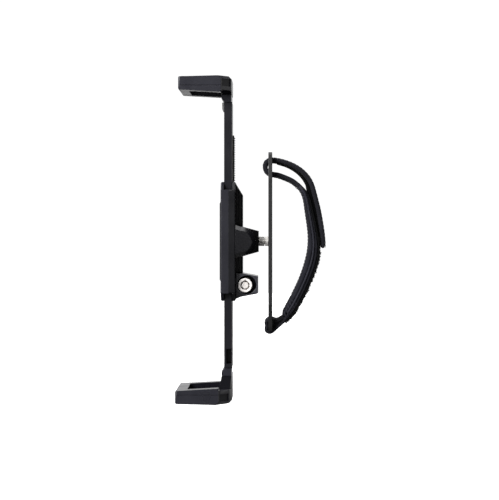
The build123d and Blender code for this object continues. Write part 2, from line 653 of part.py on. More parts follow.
with BuildPart() as upper_arm:
    add(arm_body(1, UPPER_COLLAR_Z))
    for z in RIVET_ZS:
        rod_x(RIVET_R, RIVET_FRONT_X, ARM_HALF_T, Mode.SUBTRACT, 0, z)
save(upper_arm.part, "upper_arm")

NOTCH_TOP_Z = -91.4
NOTCH_BOTTOM_Z = -104.0
NOTCH_FRONT_X = -1.5
NOTCH_REAR_X = 2.9
NOTCH_DEPTH = 7.0
GROOVE_X = ARM_HALF_T - 0.3

with BuildPart() as lower_arm:
    add(arm_body(-1, LOWER_COLLAR_Z))
    # relief for the ratchet rack, which slides down behind this arm
    groove_end_z = RACK_BOTTOM_Z - 2 * TRAVEL - 2.0
    span(GROOVE_X, ARM_HALF_T, -RACK_SLOT_Y, RACK_SLOT_Y, groove_end_z, -ARM_INNER_Z, Mode.SUBTRACT)
    # finger notches in the side faces
    for side in (-1, 1):
        low_y, high_y = sorted((side * (ARM_HALF_W - NOTCH_DEPTH), side * ARM_HALF_W))
        span(NOTCH_FRONT_X, NOTCH_REAR_X, low_y, high_y, NOTCH_BOTTOM_Z, NOTCH_TOP_Z, Mode.SUBTRACT)
save(lower_arm.part, "lower_arm")

with BuildPart() as ratchet_rack:
    span(ARM_HALF_T, RACK_ROOT_X, -RACK_HALF_W, RACK_HALF_W, RACK_BOTTOM_Z, RACK_TOP_Z)
    tooth_count = int((RACK_TOP_Z - RACK_BOTTOM_Z) / RACK_PITCH)
    with BuildSketch(across(RACK_HALF_W)):
        for index in range(tooth_count):
            low_z = RACK_BOTTOM_Z + index * RACK_PITCH
            Polygon(
                (RACK_ROOT_X, low_z + 0.05),
                (RACK_TIP_X, low_z + 0.45),
                (RACK_TIP_X, low_z + 0.95),
                (RACK_ROOT_X, low_z + 1.15),
                align=None,
            )
    extrude(amount=-2 * RACK_HALF_W)
    for z in RIVET_ZS:
        rod_x(RIVET_R, ARM_HALF_T, RACK_TIP_X, Mode.SUBTRACT, 0, z)
save(ratchet_rack.part, "ratchet_rack")

with BuildPart() as rack_rivets:
    for z in RIVET_ZS:
        rod_x(RIVET_R, RIVET_FRONT_X, RACK_ROOT_X, Mode.ADD, 0, z)
save(rack_rivets.part, "rack_rivets")

# ---------------------------------------------------------------- jaws
JAW_DEPTH_TIP = 12.0
JAW_DEPTH_ROOT = 14.0
ROOT_DEPTH = 12.2           # the root block is shallower than the tray beside it
TIP_DROP = 0.95
TIP_ROUND = 1.4
GROOVE_DEPTH = 8.2          # a fine line runs along each side bar at this depth
CAP_HALF_W = 38.0
CAP_SEAT = 0.9
CAP_PROUD = 0.35
CAP_INSET = 2.2
NECK_HALF_W = 26.0
SHADOW_GAP = 0.6
PANEL_W = 13.0
PANEL_H = 6.1
PANEL_LEVEL = 5.75
PANEL_SINK = 0.7
JAW_HEAD_REAR_X = COLLAR_FRONT + 1.4
JAW_SCREW_HEAD_T = 1.2
CAP_REAR_GAP = 0.6


@dataclass
class JawForm:
    """Dimensions that differ between the jaws; up is +1 when the outer face looks up."""

    name: str
    up: int
    outer_z: float
    collar_z: float
    tip_x: float
    root_x: float
    pocket_x: float
    corner_x: float

    def level(self, depth):
        """Z at a depth below the outer face."""
        return self.outer_z - self.up * depth

    def beyond_collar(self, distance):
        """Z at a distance from the collar's open end towards the tray."""
        return self.collar_z + self.up * distance


UPPER_JAW = JawForm("upper", 1, 140.0, UPPER_COLLAR_Z, -41.6, -5.6, -33.0, 3.1)
LOWER_JAW = JawForm("lower", -1, -137.4, LOWER_COLLAR_Z, -44.2, -7.8, -34.3, 1.4)


def jaw_shape(form):
    """One jaw: a tray open towards the device, a root block and a neck over the arm's end."""
    with BuildPart() as jaw:
        with BuildSketch(across(JAW_HALF_W)):
            Polygon(
                (form.tip_x, form.level(TIP_DROP)),
                (form.root_x, form.level(0)),
                (form.root_x, form.level(JAW_DEPTH_ROOT)),
                (form.tip_x, form.level(JAW_DEPTH_TIP)),
                align=None,
            )
        extrude(amount=-2 * JAW_HALF_W)
        fillet(jaw.faces().sort_by(Axis.X)[0].edges(), TIP_ROUND)
        # tray pocket
        low_z, high_z = sorted((form.level(JAW_SKIN), form.level(JAW_DEPTH_ROOT)))
        inner_w = JAW_HALF_W - JAW_WALL
        span(form.pocket_x, form.root_x, -inner_w, inner_w, low_z, high_z, Mode.SUBTRACT)
        # recess for the tip cap
        low_z, high_z = sorted((form.level(TIP_DROP + CAP_SEAT), form.level(0)))
        cap_x = (form.tip_x + CAP_INSET, form.pocket_x - CAP_REAR_GAP)
        span(*cap_x, -CAP_HALF_W, CAP_HALF_W, low_z, high_z, Mode.SUBTRACT)
        # fine line along each side bar
        low_z, high_z = sorted((form.level(GROOVE_DEPTH), form.level(GROOVE_DEPTH + 0.5)))
        for side in (-1, 1):
            low_y, high_y = sorted((side * (JAW_HALF_W - 0.3), side * JAW_HALF_W))
            span(form.tip_x + 2, form.root_x, low_y, high_y, low_z, high_z, Mode.SUBTRACT)
        # root block: its sides turn inward towards the rear
        low_z, high_z = sorted((form.level(0), form.level(ROOT_DEPTH)))
        with BuildSketch(Plane.XY.offset(low_z)):
            Polygon(
                (form.root_x, -JAW_HALF_W),
                (form.corner_x, -JAW_CORNER_HALF_W),
                (ARM_HALF_T, -JAW_REAR_HALF_W),
                (ARM_HALF_T, JAW_REAR_HALF_W),
                (form.corner_x, JAW_CORNER_HALF_W),
                (form.root_x, JAW_HALF_W),
                align=None,
            )
        extrude(amount=high_z - low_z)
        outer_rear = jaw.faces().filter_by(Axis.Z).sort_by(Axis.Z)[-1 if form.up > 0 else 0]
        chamfer(outer_rear.edges().filter_by(lambda edge: edge.center().X > form.root_x + 1), 2.4)
        # neck: from the root block down to the collar
        near_tray = form.level(ROOT_DEPTH - 1)
        far_from_tray = form.beyond_collar(COLLAR_T)
        for z, front_x, corner_x, half_w in (
            (near_tray, form.root_x, form.corner_x - 0.3, NECK_HALF_W),
            (far_from_tray, COLLAR_FRONT, COLLAR_REAR, COLLAR_HALF_W),
        ):
            with BuildSketch(Plane.XY.offset(z)):
                Polygon(
                    (front_x, -half_w),
                    (corner_x, -half_w),
                    (ARM_HALF_T, -half_w + 5),
                    (ARM_HALF_T, half_w - 5),
                    (corner_x, half_w),
                    (front_x, half_w),
                    align=None,
                )
        loft()
        # collar with its sloped front edge
        with BuildSketch(across(COLLAR_HALF_W)):
            Polygon(
                (COLLAR_FRONT, form.beyond_collar(COLLAR_T)),
                (COLLAR_REAR, form.beyond_collar(COLLAR_T)),
                (COLLAR_REAR, form.collar_z),
                (-ARM_HALF_T, form.collar_z),
                (COLLAR_FRONT, form.beyond_collar(2.6)),
                align=None,
            )
        extrude(amount=-2 * COLLAR_HALF_W)
        # shadow gap between collar and neck
        low_z, high_z = sorted((form.beyond_collar(COLLAR_T), form.beyond_collar(COLLAR_T + SHADOW_GAP)))
        reach_y = COLLAR_HALF_W + 1
        for side in (-1, 1):
            low_y, high_y = sorted((side * (COLLAR_HALF_W - SHADOW_GAP), side * reach_y))
            span(COLLAR_FRONT - 1, ARM_HALF_T, low_y, high_y, low_z, high_z, Mode.SUBTRACT)
        span(COLLAR_FRONT - 1, COLLAR_FRONT + SHADOW_GAP, -reach_y, reach_y, low_z, high_z, Mode.SUBTRACT)
        # sunk panel on each inward-turning side
        for side in (-1, 1):
            turn = atan2(JAW_HALF_W - JAW_CORNER_HALF_W, form.corner_x - form.root_x)
            middle_x = (form.root_x + form.corner_x) / 2
            middle_y = side * (JAW_HALF_W + JAW_CORNER_HALF_W) / 2
            face_plane = Plane(
                (middle_x, middle_y, form.level(PANEL_LEVEL)),
                x_dir=(cos(turn), -side * sin(turn), 0),
                z_dir=(sin(turn), side * cos(turn), 0),
            )
            with BuildSketch(face_plane):
                Rectangle(PANEL_W, PANEL_H)
            extrude(amount=-PANEL_SINK, mode=Mode.SUBTRACT)
        # socket for the arm's end and its two screws
        low_z, high_z = sorted((form.collar_z, form.beyond_collar(SOCKET_DEPTH)))
        span(-SOCKET_HALF_T, SOCKET_HALF_T, -SOCKET_HALF_W, SOCKET_HALF_W, low_z, high_z, Mode.SUBTRACT)
        screw_z = form.beyond_collar(JAW_SCREW_LIFT)
        for y in (-JAW_SCREW_Y, JAW_SCREW_Y):
            rod_x(JAW_SCREW_R, JAW_HEAD_REAR_X, -SOCKET_HALF_T, Mode.SUBTRACT, y, screw_z)
            rod_x(JAW_SCREW_HEAD_R, COLLAR_FRONT, JAW_HEAD_REAR_X, Mode.SUBTRACT, y, screw_z)
    return jaw.part


def jaw_screws(form):
    """Two screws from the front of the collar into the arm's end."""
    screw_z = form.beyond_collar(JAW_SCREW_LIFT)
    head_front_x = JAW_HEAD_REAR_X - JAW_SCREW_HEAD_T
    with BuildPart() as screws:
        for y in (-JAW_SCREW_Y, JAW_SCREW_Y):
            rod_x(JAW_SCREW_R, JAW_HEAD_REAR_X, SOCKET_HALF_T, Mode.ADD, y, screw_z)
            rod_x(JAW_SCREW_HEAD_R, head_front_x, JAW_HEAD_REAR_X, Mode.ADD, y, screw_z)
            with BuildSketch(Plane.YZ.offset(head_front_x)):
                with Locations((y, screw_z)):
                    RegularPolygon(1.0, 6)
            extrude(amount=0.8, mode=Mode.SUBTRACT)
    return screws.part


def tip_cap(form):
    """The replaceable cap set into the outer face of a jaw's tip."""
    with BuildPart() as cap:
        low_z, high_z = sorted((form.level(TIP_DROP + CAP_SEAT), form.level(TIP_DROP - CAP_PROUD)))
        span(form.tip_x + CAP_INSET, form.pocket_x - CAP_REAR_GAP, -CAP_HALF_W, CAP_HALF_W, low_z, high_z)
    return cap.part


for form in (UPPER_JAW, LOWER_JAW):
    save(jaw_shape(form), f"{form.name}_jaw")
    save(jaw_screws(form), f"{form.name}_jaw_screws")
    save(tip_cap(form), f"{form.name}_tip_cap")

with BuildPart() as rest_pad:
    with BuildSketch(across(15.0)):
        Polygon(
            (-ARM_HALF_T, 111.3),
            (-4.9, 112.2),
            (-5.2, 113.2),
            (-5.2, 118.4),
            (-ARM_HALF_T, 118.7),
            align=None,
        )
    extrude(amount=-30.0)
save(rest_pad.part, "rest_pad")

# ---------------------------------------------------------------- screw, nuts and strap plate
STUD_HEAD_T = 2.1
LOCK_NUT_REAR_X = 30.9
NUT_SPACE = 0.5
NUT_CHAMFER = 0.25
HEAD_SEAT_GAP = 0.12

with BuildPart() as stud_screw:
    rod_x(STUD_R, STUD_TIP_X, PLATE_REAR - STUD_HEAD_T)
    with BuildSketch(Plane.YZ.offset(PLATE_REAR - STUD_HEAD_T)):
        Circle(STUD_R)
    with BuildSketch(Plane.YZ.offset(PLATE_REAR)):
        Circle(STUD_HEAD_R)
    loft()
    with BuildSketch(Plane.YZ.offset(PLATE_REAR - 1.4)):
        RegularPolygon(1.7, 6)
    extrude(amount=1.4, mode=Mode.SUBTRACT)
save(stud_screw.part, "stud_screw")


def hex_nut(front_x, rear_x):
    """A nut on the screw with one corner towards the side and its rims chamfered."""
    with BuildPart() as nut:
        with BuildSketch(Plane.YZ.offset(front_x)):
            RegularPolygon(NUT_FLATS / 2, 6, major_radius=False)
        extrude(amount=rear_x - front_x)
        chamfer(nut.faces().filter_by(Axis.X).edges(), NUT_CHAMFER)
        rod_x(STUD_R, front_x, rear_x, Mode.SUBTRACT)
    return nut.part


save(hex_nut(BOSS_REAR, LOCK_NUT_REAR_X), "lock_nut")
save(hex_nut(LOCK_NUT_REAR_X + NUT_SPACE, PLATE_FRONT - RUNNING_GAP), "jam_nut")

UPPER_SLOTS = ((65.8, 72.6), (53.4, 62.2))
BAR_TOP_Z = -70.6
LOWER_SLOTS = ((BAR_TOP_Z, -63.6),)

with BuildPart() as strap_plate:
    with BuildSketch(Plane.YZ.offset(PLATE_FRONT)):
        Polygon(
            (-PLATE_HALF_W, -PLATE_SIDE_Z),
            (-PLATE_END_HALF_W, -PLATE_HALF_H),
            (PLATE_END_HALF_W, -PLATE_HALF_H),
            (PLATE_HALF_W, -PLATE_SIDE_Z),
            (PLATE_HALF_W, PLATE_SIDE_Z),
            (PLATE_END_HALF_W, PLATE_HALF_H),
            (-PLATE_END_HALF_W, PLATE_HALF_H),
            (-PLATE_HALF_W, PLATE_SIDE_Z),
            align=None,
        )
    extrude(amount=PLATE_REAR - PLATE_FRONT)
    end_corners = strap_plate.edges().filter_by(Axis.X)
    fillet(end_corners.group_by(Axis.Z)[0] + end_corners.group_by(Axis.Z)[-1], 5.0)
    chamfer(strap_plate.faces().filter_by(Axis.X).edges(), PLATE_EDGE)
    for low_z, high_z in UPPER_SLOTS + LOWER_SLOTS:
        span(PLATE_FRONT, PLATE_REAR, -SLOT_HALF_W, SLOT_HALF_W, low_z, high_z, Mode.SUBTRACT)
    rod_x(STUD_R + RUNNING_GAP, PLATE_FRONT, PLATE_REAR, Mode.SUBTRACT)
    with BuildSketch(Plane.YZ.offset(PLATE_REAR - STUD_HEAD_T)):
        Circle(STUD_R + HEAD_SEAT_GAP)
    with BuildSketch(Plane.YZ.offset(PLATE_REAR)):
        Circle(STUD_HEAD_R + HEAD_SEAT_GAP)
    loft(mode=Mode.SUBTRACT)
save(strap_plate.part, "strap_plate")

# ---------------------------------------------------------------- hand strap
def beside(path, distance):
    """The points of an X-Z path moved away from the plate by a distance, square to the path."""
    moved = []
    last = len(path) - 1
    for index, (x, z) in enumerate(path):
        before = path[max(index - 1, 0)]
        after = path[min(index + 1, last)]
        run_x, run_z = after[0] - before[0], after[1] - before[1]
        length = hypot(run_x, run_z)
        moved.append((x - distance * run_z / length, z + distance * run_x / length))
    return moved


def layer(inner, outer, half_width):
    """A soft layer between two lines that run the same way."""
    with BuildPart() as slab:
        with BuildSketch(across(half_width)):
            with BuildLine():
                Spline(*outer)
                Line(outer[-1], inner[-1])
                Spline(*reversed(inner))
                Line(inner[0], outer[0])
            make_face()
        extrude(amount=-2 * half_width)
    return slab.part


def webbing_run(path, thickness, half_width):
    """A flat strap of even thickness along the middle line given."""
    return layer(beside(path, -thickness / 2), beside(path, thickness / 2), half_width)


# outer face of the free tail, from the plate down to its end
TAIL_LINE = [(40.8, 71.4), (48.5, 69.7), (57.0, 66.3), (65.5, 60.4), (71.8, 52.2), (75.7, 40.6),
             (79.1, 26.8), (81.4, 14.0), (82.9, 2.0), (83.1, -5.6)]
# the same webbing round the plate's upper bar and back to the pad
BAR_TURN = [(36.0, 69.4), (32.8, 67.6), (31.6, 64.2), (32.7, 60.4), (36.0, 58.0), (40.8, 57.1),
            (48.5, 54.6), (55.4, 51.3), (60.4, 46.6)]
# inner face of the hook tape under the tail
HOOK_LINE = [(63.9, 52.4), (67.2, 47.4), (69.95, 39.6), (73.45, 26.8), (77.05, 9.8), (77.95, 2.4)]
# outer face of the padded run, where the tail lies on it, and down to the sewn join
PAD_LINE = [(66.0, 46.6), (69.4, 39.6), (72.8, 26.8), (76.5, 9.8), (78.4, -6.0), (77.3, -16.2),
            (71.7, -32.9), (63.7, -49.9), (56.2, -62.3), (49.4, -69.6)]
PAD_INNER = [(57.2, 47.6), (63.1, 39.6), (65.6, 26.8), (68.0, 9.8), (68.2, -4.0), (65.2, -19.0),
             (60.4, -32.7), (52.1, -49.8), (45.6, -62.0)]
# outer face of the webbing end sewn round the plate's lower bar
ANCHOR_LINE = [(49.0, -63.6), (44.8, -64.6), (41.4, -66.3), (37.6, -65.4), (33.4, -65.9), (30.9, -69.0),
               (31.3, -72.4), (30.9, -75.6), (32.9, -78.3), (36.4, -78.9), (41.8, -75.0), (46.0, -71.4),
               (50.0, -67.6)]
HALF_WEB = WEB_T / 2
TOP_RUN = list(reversed(beside(TAIL_LINE, -HALF_WEB))) + BAR_TURN
HOOK_OUTER = beside(TAIL_LINE, -WEB_T - SEWN_GAP)[3:-1]
LOOP_RUN = beside(PAD_LINE, -LOOP_T / 2)[1:-1]
PAD_OUTER = [(60.9, 51.0)] + beside(PAD_LINE, -LOOP_T - SEWN_GAP)

save(webbing_run(TOP_RUN, WEB_T, STRAP_HALF_W), "strap_webbing")
save(webbing_run(LOOP_RUN, LOOP_T, STRAP_HALF_W), "loop_patch")
save(layer(HOOK_LINE, HOOK_OUTER, STRAP_HALF_W), "hook_patch")
save(layer(PAD_INNER, PAD_OUTER, PAD_HALF_W), "strap_pad")

with BuildPart() as strap_anchor:
    with BuildSketch(across(STRAP_HALF_W)):
        with BuildLine():
            Spline(*ANCHOR_LINE)
            Line(ANCHOR_LINE[-1], ANCHOR_LINE[0])
        make_face()
    extrude(amount=-2 * STRAP_HALF_W)
    bar_gap = 0.1
    span(
        PLATE_FRONT - bar_gap,
        PLATE_REAR + bar_gap,
        -STRAP_HALF_W,
        STRAP_HALF_W,
        -PLATE_HALF_H - bar_gap,
        BAR_TOP_Z + bar_gap,
        Mode.SUBTRACT,
    )
save(strap_anchor.part, "strap_anchor")
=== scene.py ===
"""Looks of the locking device holder: materials, soft goods, light and camera around the CAD frame."""
import json
import math
import random

import bmesh
import bpy
import numpy as np
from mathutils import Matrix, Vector


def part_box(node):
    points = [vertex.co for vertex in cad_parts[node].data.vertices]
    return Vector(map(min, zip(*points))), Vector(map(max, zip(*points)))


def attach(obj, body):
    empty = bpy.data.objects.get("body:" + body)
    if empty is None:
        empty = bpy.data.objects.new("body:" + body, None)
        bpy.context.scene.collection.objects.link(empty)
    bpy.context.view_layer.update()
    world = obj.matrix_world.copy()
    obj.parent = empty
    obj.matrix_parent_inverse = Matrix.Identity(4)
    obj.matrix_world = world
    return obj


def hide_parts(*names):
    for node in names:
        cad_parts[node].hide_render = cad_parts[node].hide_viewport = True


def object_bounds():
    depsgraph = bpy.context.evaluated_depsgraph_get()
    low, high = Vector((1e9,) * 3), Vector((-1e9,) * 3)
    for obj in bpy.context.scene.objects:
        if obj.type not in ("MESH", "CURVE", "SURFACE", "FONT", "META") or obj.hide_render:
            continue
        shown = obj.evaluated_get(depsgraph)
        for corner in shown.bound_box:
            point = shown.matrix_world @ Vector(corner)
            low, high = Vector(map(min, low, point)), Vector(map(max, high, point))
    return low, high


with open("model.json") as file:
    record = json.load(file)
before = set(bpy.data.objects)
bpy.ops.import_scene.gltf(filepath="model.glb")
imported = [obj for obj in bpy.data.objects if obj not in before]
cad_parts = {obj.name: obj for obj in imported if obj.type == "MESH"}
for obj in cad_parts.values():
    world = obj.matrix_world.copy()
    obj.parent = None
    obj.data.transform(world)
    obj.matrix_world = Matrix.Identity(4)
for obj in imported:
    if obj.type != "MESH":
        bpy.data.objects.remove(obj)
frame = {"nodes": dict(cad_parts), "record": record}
CAD_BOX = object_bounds()
NODES = frame["nodes"]
MM = 0.001


def joint_place(name):
    joints = frame["record"]["behaviour"]["joints"]
    return next(Vector(joint["pos_m"]) for joint in joints if joint["name"] == name)


# ---------------------------------------------------------------- sizes of finishes and soft goods
# worn edges, and gaps where shade is painted
PLASTIC_EDGE_R, METAL_EDGE_R = 0.35 * MM, 0.2 * MM
PLASTIC_GAP, METAL_GAP = 2.2 * MM, 0.35 * MM

# tubular lock: its bright post, its ring of seven pins, and the round recess in the block beside it, where
# shade is painted
LOCK_AXIS = joint_place("lock_turn")
POST_R = 2.75 * MM
PIN_RING_R = 3.35 * MM
PIN_HALF_W, PIN_BLUR = 0.30 * MM, 0.12 * MM
PIN_COUNT = 7.0
RECESS_SHIFT_X, RECESS_SHIFT_Z = 1.5 * MM, 0.4 * MM
RECESS_R = 7.95 * MM
RECESS_LIP = 0.3 * MM

# parts of the jaws where shade is painted, measured from the top of the upper jaw and the bottom of the lower
# jaw
UPPER_TOP_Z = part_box("upper_jaw")[1].z
LOWER_BOTTOM_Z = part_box("lower_jaw")[0].z
PANEL_MID, PANEL_HALF_H = 5.75 * MM, 3.04 * MM
PANEL_ZS = [
    (middle - PANEL_HALF_H, middle + PANEL_HALF_H)
    for middle in (UPPER_TOP_Z - PANEL_MID, LOWER_BOTTOM_Z + PANEL_MID)
]
UPPER_NECK_Z = (UPPER_TOP_Z - 15.2 * MM, UPPER_TOP_Z - 12.2 * MM)
LOWER_NECK_Z = (LOWER_BOTTOM_Z + 12.2 * MM, LOWER_BOTTOM_Z + 22.6 * MM)
LOWER_TRAY_Z = (LOWER_BOTTOM_Z + 2.4 * MM, LOWER_BOTTOM_Z + 14.5 * MM)
# each: share of painted shade, X range, |Y| range, Z ranges
PAINTED_SHADE_REGIONS = (
    (0.6, (0.0, 20 * MM), (28.2 * MM, 38.6 * MM), PANEL_ZS),
    (0.8, (-1.5 * MM, 20 * MM), (20.6 * MM, 27.4 * MM), (UPPER_NECK_Z, LOWER_NECK_Z)),
    (0.6, (-26.8 * MM, 1 * MM), (-1 * MM, 38.5 * MM), (LOWER_TRAY_Z,)),
)

# soft goods; widths come from the CAD solids that they replace
WEB_HALF_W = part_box("strap_webbing")[1].y
PAD_HALF_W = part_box("strap_pad")[1].y
LOOP_HALF_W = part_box("loop_patch")[1].y
STRAP_POINTS, ANCHOR_POINTS = 150, 110
ANCHOR_T = 3.1 * MM
FOLD_SKIP, FOLD_POINTS = 4, 30
FOLD_INSET = 0.5 * MM
FOAM_SHARE = 0.52            # of the pad's thickness; the rest is the backing web
SLEEVE_OVERLAP = 0.03
BACKING_INSET = 0.4 * MM
SWELL_START, SWELL_POINTS = 0.78, 14
LOOP_SINK, LOOP_T = 0.3 * MM, 1.3 * MM
LOOP_EDGE, LOOP_FEATHER = 0.1 * MM, 22
LOOP_INSET = 0.8 * MM
HOOK_START, HOOK_FULL = 0.7 * MM, 2.6 * MM
HOOK_SINK, HOOK_BURIED = 0.25 * MM, 0.2 * MM
HOOK_REACH = 1.2 * MM
HOOK_FEATHER, HOOK_POINTS = 50, 110
HOOK_GAP = 4 * MM            # between the strap plate and the start of the hooks
HOOK_INSET = 1.6 * MM
PIPING_R = 0.95 * MM
PIPING_INSET = 0.15 * MM
THREAD_R, THREAD_DIP = 0.2 * MM, 0.1 * MM
TACK_WINDS, TACK_R, TACK_PROUD = 9, 0.34 * MM, 0.25 * MM
LOOSE_LOOPS = 4200
LONGEST_LOOP = 1.25 * MM
LOOP_RIM_SHARE = 0.35
WORN_BELOW_Z = 4 * MM
# for each row of stitches: distance from the strap's edge, pitch, and rise above the cloth
WEB_STITCHES = (3 * MM, 3.4 * MM, 0.02 * MM)
PAD_STITCHES = (4 * MM, 3.0 * MM, 0.1 * MM)


# ---------------------------------------------------------------- node helpers
def add_node(tree, kind, **settings):
    """A shader node; each keyword sets the input of that name, or else the attribute of that name."""
    node = tree.nodes.new(kind)
    for key, value in settings.items():
        if key in node.inputs:
            node.inputs[key].default_value = value
        else:
            setattr(node, key, value)
    return node


def link(tree, source, target):
    tree.links.new(source, target)


def math_node(tree, operation, first, second=0.0):
    """first and second are sockets or numbers; returns the result's socket."""
    node = tree.nodes.new("ShaderNodeMath")
    node.operation = operation
    for place, value in enumerate((first, second)):
        if isinstance(value, (int, float)):
            node.inputs[place].default_value = value
        else:
            link(tree, value, node.inputs[place])
    return node.outputs[0]


def add(tree, first, second):
    return math_node(tree, "ADD", first, second)


def subtract(tree, first, second):
    return math_node(tree, "SUBTRACT", first, second)


def multiply(tree, first, second):
    return math_node(tree, "MULTIPLY", first, second)


def map_range(tree, source, low_in, high_in, low_out, high_out):
    node = tree.nodes.new("ShaderNodeMapRange")
    for place, value in enumerate((low_in, high_in, low_out, high_out), start=1):
        node.inputs[place].default_value = value
    link(tree, source, node.inputs[0])
    return node.outputs[0]


def mix_colour(tree, factor, first, second):
    """Mixes two colours, each a socket or an (r, g, b) value."""
    node = tree.nodes.new("ShaderNodeMix")
    node.data_type = "RGBA"
    link(tree, factor, node.inputs[0])
    for place, value in ((6, first), (7, second)):
        if isinstance(value, tuple):
            node.inputs[place].default_value = (*value, 1)
        else:
            link(tree, value, node.inputs[place])
    return node.outputs[2]


def scaled(colour, share, lift=0.0):
    """The colour times share, plus lift, held at 1."""
    return tuple(min(channel * share + lift, 1.0) for channel in colour)


def new_material(name):
    material = bpy.data.materials.new(name)
    material.use_nodes = True
    tree = material.node_tree
    return material, tree, tree.nodes["Principled BSDF"]


def object_place(tree):
    """East, north and up sockets: the place in the part's own frame, in metres."""
    coord = tree.nodes.new("ShaderNodeTexCoord")
    split = tree.nodes.new("ShaderNodeSeparateXYZ")
    link(tree, coord.outputs["Object"], split.inputs[0])
    return split.outputs


def object_noise(tree, scale, detail=2.0, stretch=None):
    """Noise in object space, so that its grain has a real size; scale is in cycles per metre."""
    coord = tree.nodes.new("ShaderNodeTexCoord")
    source = coord.outputs["Object"]
    if stretch:
        mapping = tree.nodes.new("ShaderNodeMapping")
        mapping.inputs["Scale"].default_value = stretch
        link(tree, source, mapping.inputs["Vector"])
        source = mapping.outputs["Vector"]
    noise = add_node(tree, "ShaderNodeTexNoise", Scale=scale, Detail=detail)
    link(tree, source, noise.inputs["Vector"])
    return noise.outputs["Fac"]


def edge_mask(tree, radius):
    """(socket near 1 on sharp outer edges, rounded normal): where a finger or a bag rubs the finish."""
    bevel = add_node(tree, "ShaderNodeBevel", Radius=radius, samples=6)
    geometry = tree.nodes.new("ShaderNodeNewGeometry")
    dot = tree.nodes.new("ShaderNodeVectorMath")
    dot.operation = "DOT_PRODUCT"
    link(tree, bevel.outputs[0], dot.inputs[0])
    link(tree, geometry.outputs["Normal"], dot.inputs[1])
    return map_range(tree, dot.outputs["Value"], 0.99, 0.80, 0.0, 1.0), bevel.outputs[0]


def painted_gap_shade(tree, reach):
    """Near 0 deep in a gap or corner, 1 on open faces: where little light arrives, and shade is painted into
    the colour.
    """
    shade = add_node(tree, "ShaderNodeAmbientOcclusion", Distance=reach, samples=8)
    return map_range(tree, shade.outputs["AO"], 0.25, 0.8, 0.0, 1.0)


def bump(tree, height, distance, normal=None):
    node = add_node(tree, "ShaderNodeBump", Strength=1.0, Distance=distance)
    link(tree, height, node.inputs["Height"])
    if normal is not None:
        link(tree, normal, node.inputs["Normal"])
    return node.outputs[0]


# ---------------------------------------------------------------- hard materials
def moulded(name, colour, roughness, grain_mm=0.35, grain_depth=0.012, specular=0.5, wear=0.35, painted_shade_mask=None):
    """Moulded plastic or rubber: fine spark-eroded grain, slight sheen drift, rubbed edges, painted shade in
    gaps.

    The last argument, if given, is a function that makes a socket which is above 0 on inset faces where shade
    is painted, which are made darker and less glossy.
    """
    material, tree, bsdf = new_material(name)
    grain = object_noise(tree, 1 / (grain_mm * MM), 1.0)
    drift = object_noise(tree, 45, 3.0)
    edges, rounded = edge_mask(tree, PLASTIC_EDGE_R)
    worn = multiply(tree, edges, wear)
    worn = multiply(tree, worn, map_range(tree, drift, 0.35, 0.65, 0.4, 1.0))
    cloudy = map_range(tree, drift, 0.3, 0.7, 0.0, 1.0)
    shade = mix_colour(tree, cloudy, scaled(colour, 0.88), scaled(colour, 1.1))
    rubbed = mix_colour(tree, worn, shade, scaled(colour, 2.4, lift=0.01))
    # painted shade: the colour falls towards a twelfth of itself and the gloss fades, in gaps and where the
    # shade mask is above 0
    open_face = painted_gap_shade(tree, PLASTIC_GAP)
    if painted_shade_mask:
        open_face = multiply(tree, open_face, subtract(tree, 1.0, painted_shade_mask(tree)))
    link(tree, mix_colour(tree, open_face, scaled(colour, 0.12), rubbed), bsdf.inputs["Base Color"])
    link(tree, multiply(tree, open_face, specular), bsdf.inputs["Specular IOR Level"])
    rough = map_range(tree, drift, 0.3, 0.7, roughness - 0.04, roughness + 0.05)
    link(tree, subtract(tree, rough, multiply(tree, worn, 0.15)), bsdf.inputs["Roughness"])
    link(tree, bump(tree, grain, grain_depth * MM, rounded), bsdf.inputs["Normal"])
    return material


def metal(name, colour, roughness, brush=(1, 1, 1), brush_depth=0.004, oxide=0.0):
    """Plated or machined metal with fine tool marks along one direction and painted shade in its gaps."""
    material, tree, bsdf = new_material(name)
    marks = object_noise(tree, 2200, 2.0, brush)
    drift = object_noise(tree, 160, 2.0)
    edges, rounded = edge_mask(tree, METAL_EDGE_R)
    cloudy = map_range(tree, drift, 0.3, 0.7, 0.0, 1.0)
    shade = mix_colour(tree, cloudy, scaled(colour, 0.86), colour)
    polished = mix_colour(tree, multiply(tree, edges, 0.5), shade, scaled(colour, 1.15 + oxide * 4))
    # painted shade: a darker, warmer copy of the colour, laid in the gaps that the AO node finds
    gap_shade_colour = tuple(channel * share for channel, share in zip(colour, (0.12, 0.10, 0.08)))
    link(tree, mix_colour(tree, painted_gap_shade(tree, METAL_GAP), gap_shade_colour, polished), bsdf.inputs["Base Color"])
    bsdf.inputs["Metallic"].default_value = 1.0 - oxide
    link(tree, map_range(tree, marks, 0.3, 0.7, roughness * 0.8, roughness * 1.25), bsdf.inputs["Roughness"])
    link(tree, bump(tree, marks, brush_depth * MM, rounded), bsdf.inputs["Normal"])
    return material


def distance_from(tree, east, up, centre_x, centre_z):
    """Distance in X-Z from an axis that runs along Y."""
    across = math_node(tree, "POWER", subtract(tree, east, centre_x), 2.0)
    along = math_node(tree, "POWER", subtract(tree, up, centre_z), 2.0)
    return math_node(tree, "SQRT", add(tree, across, along))


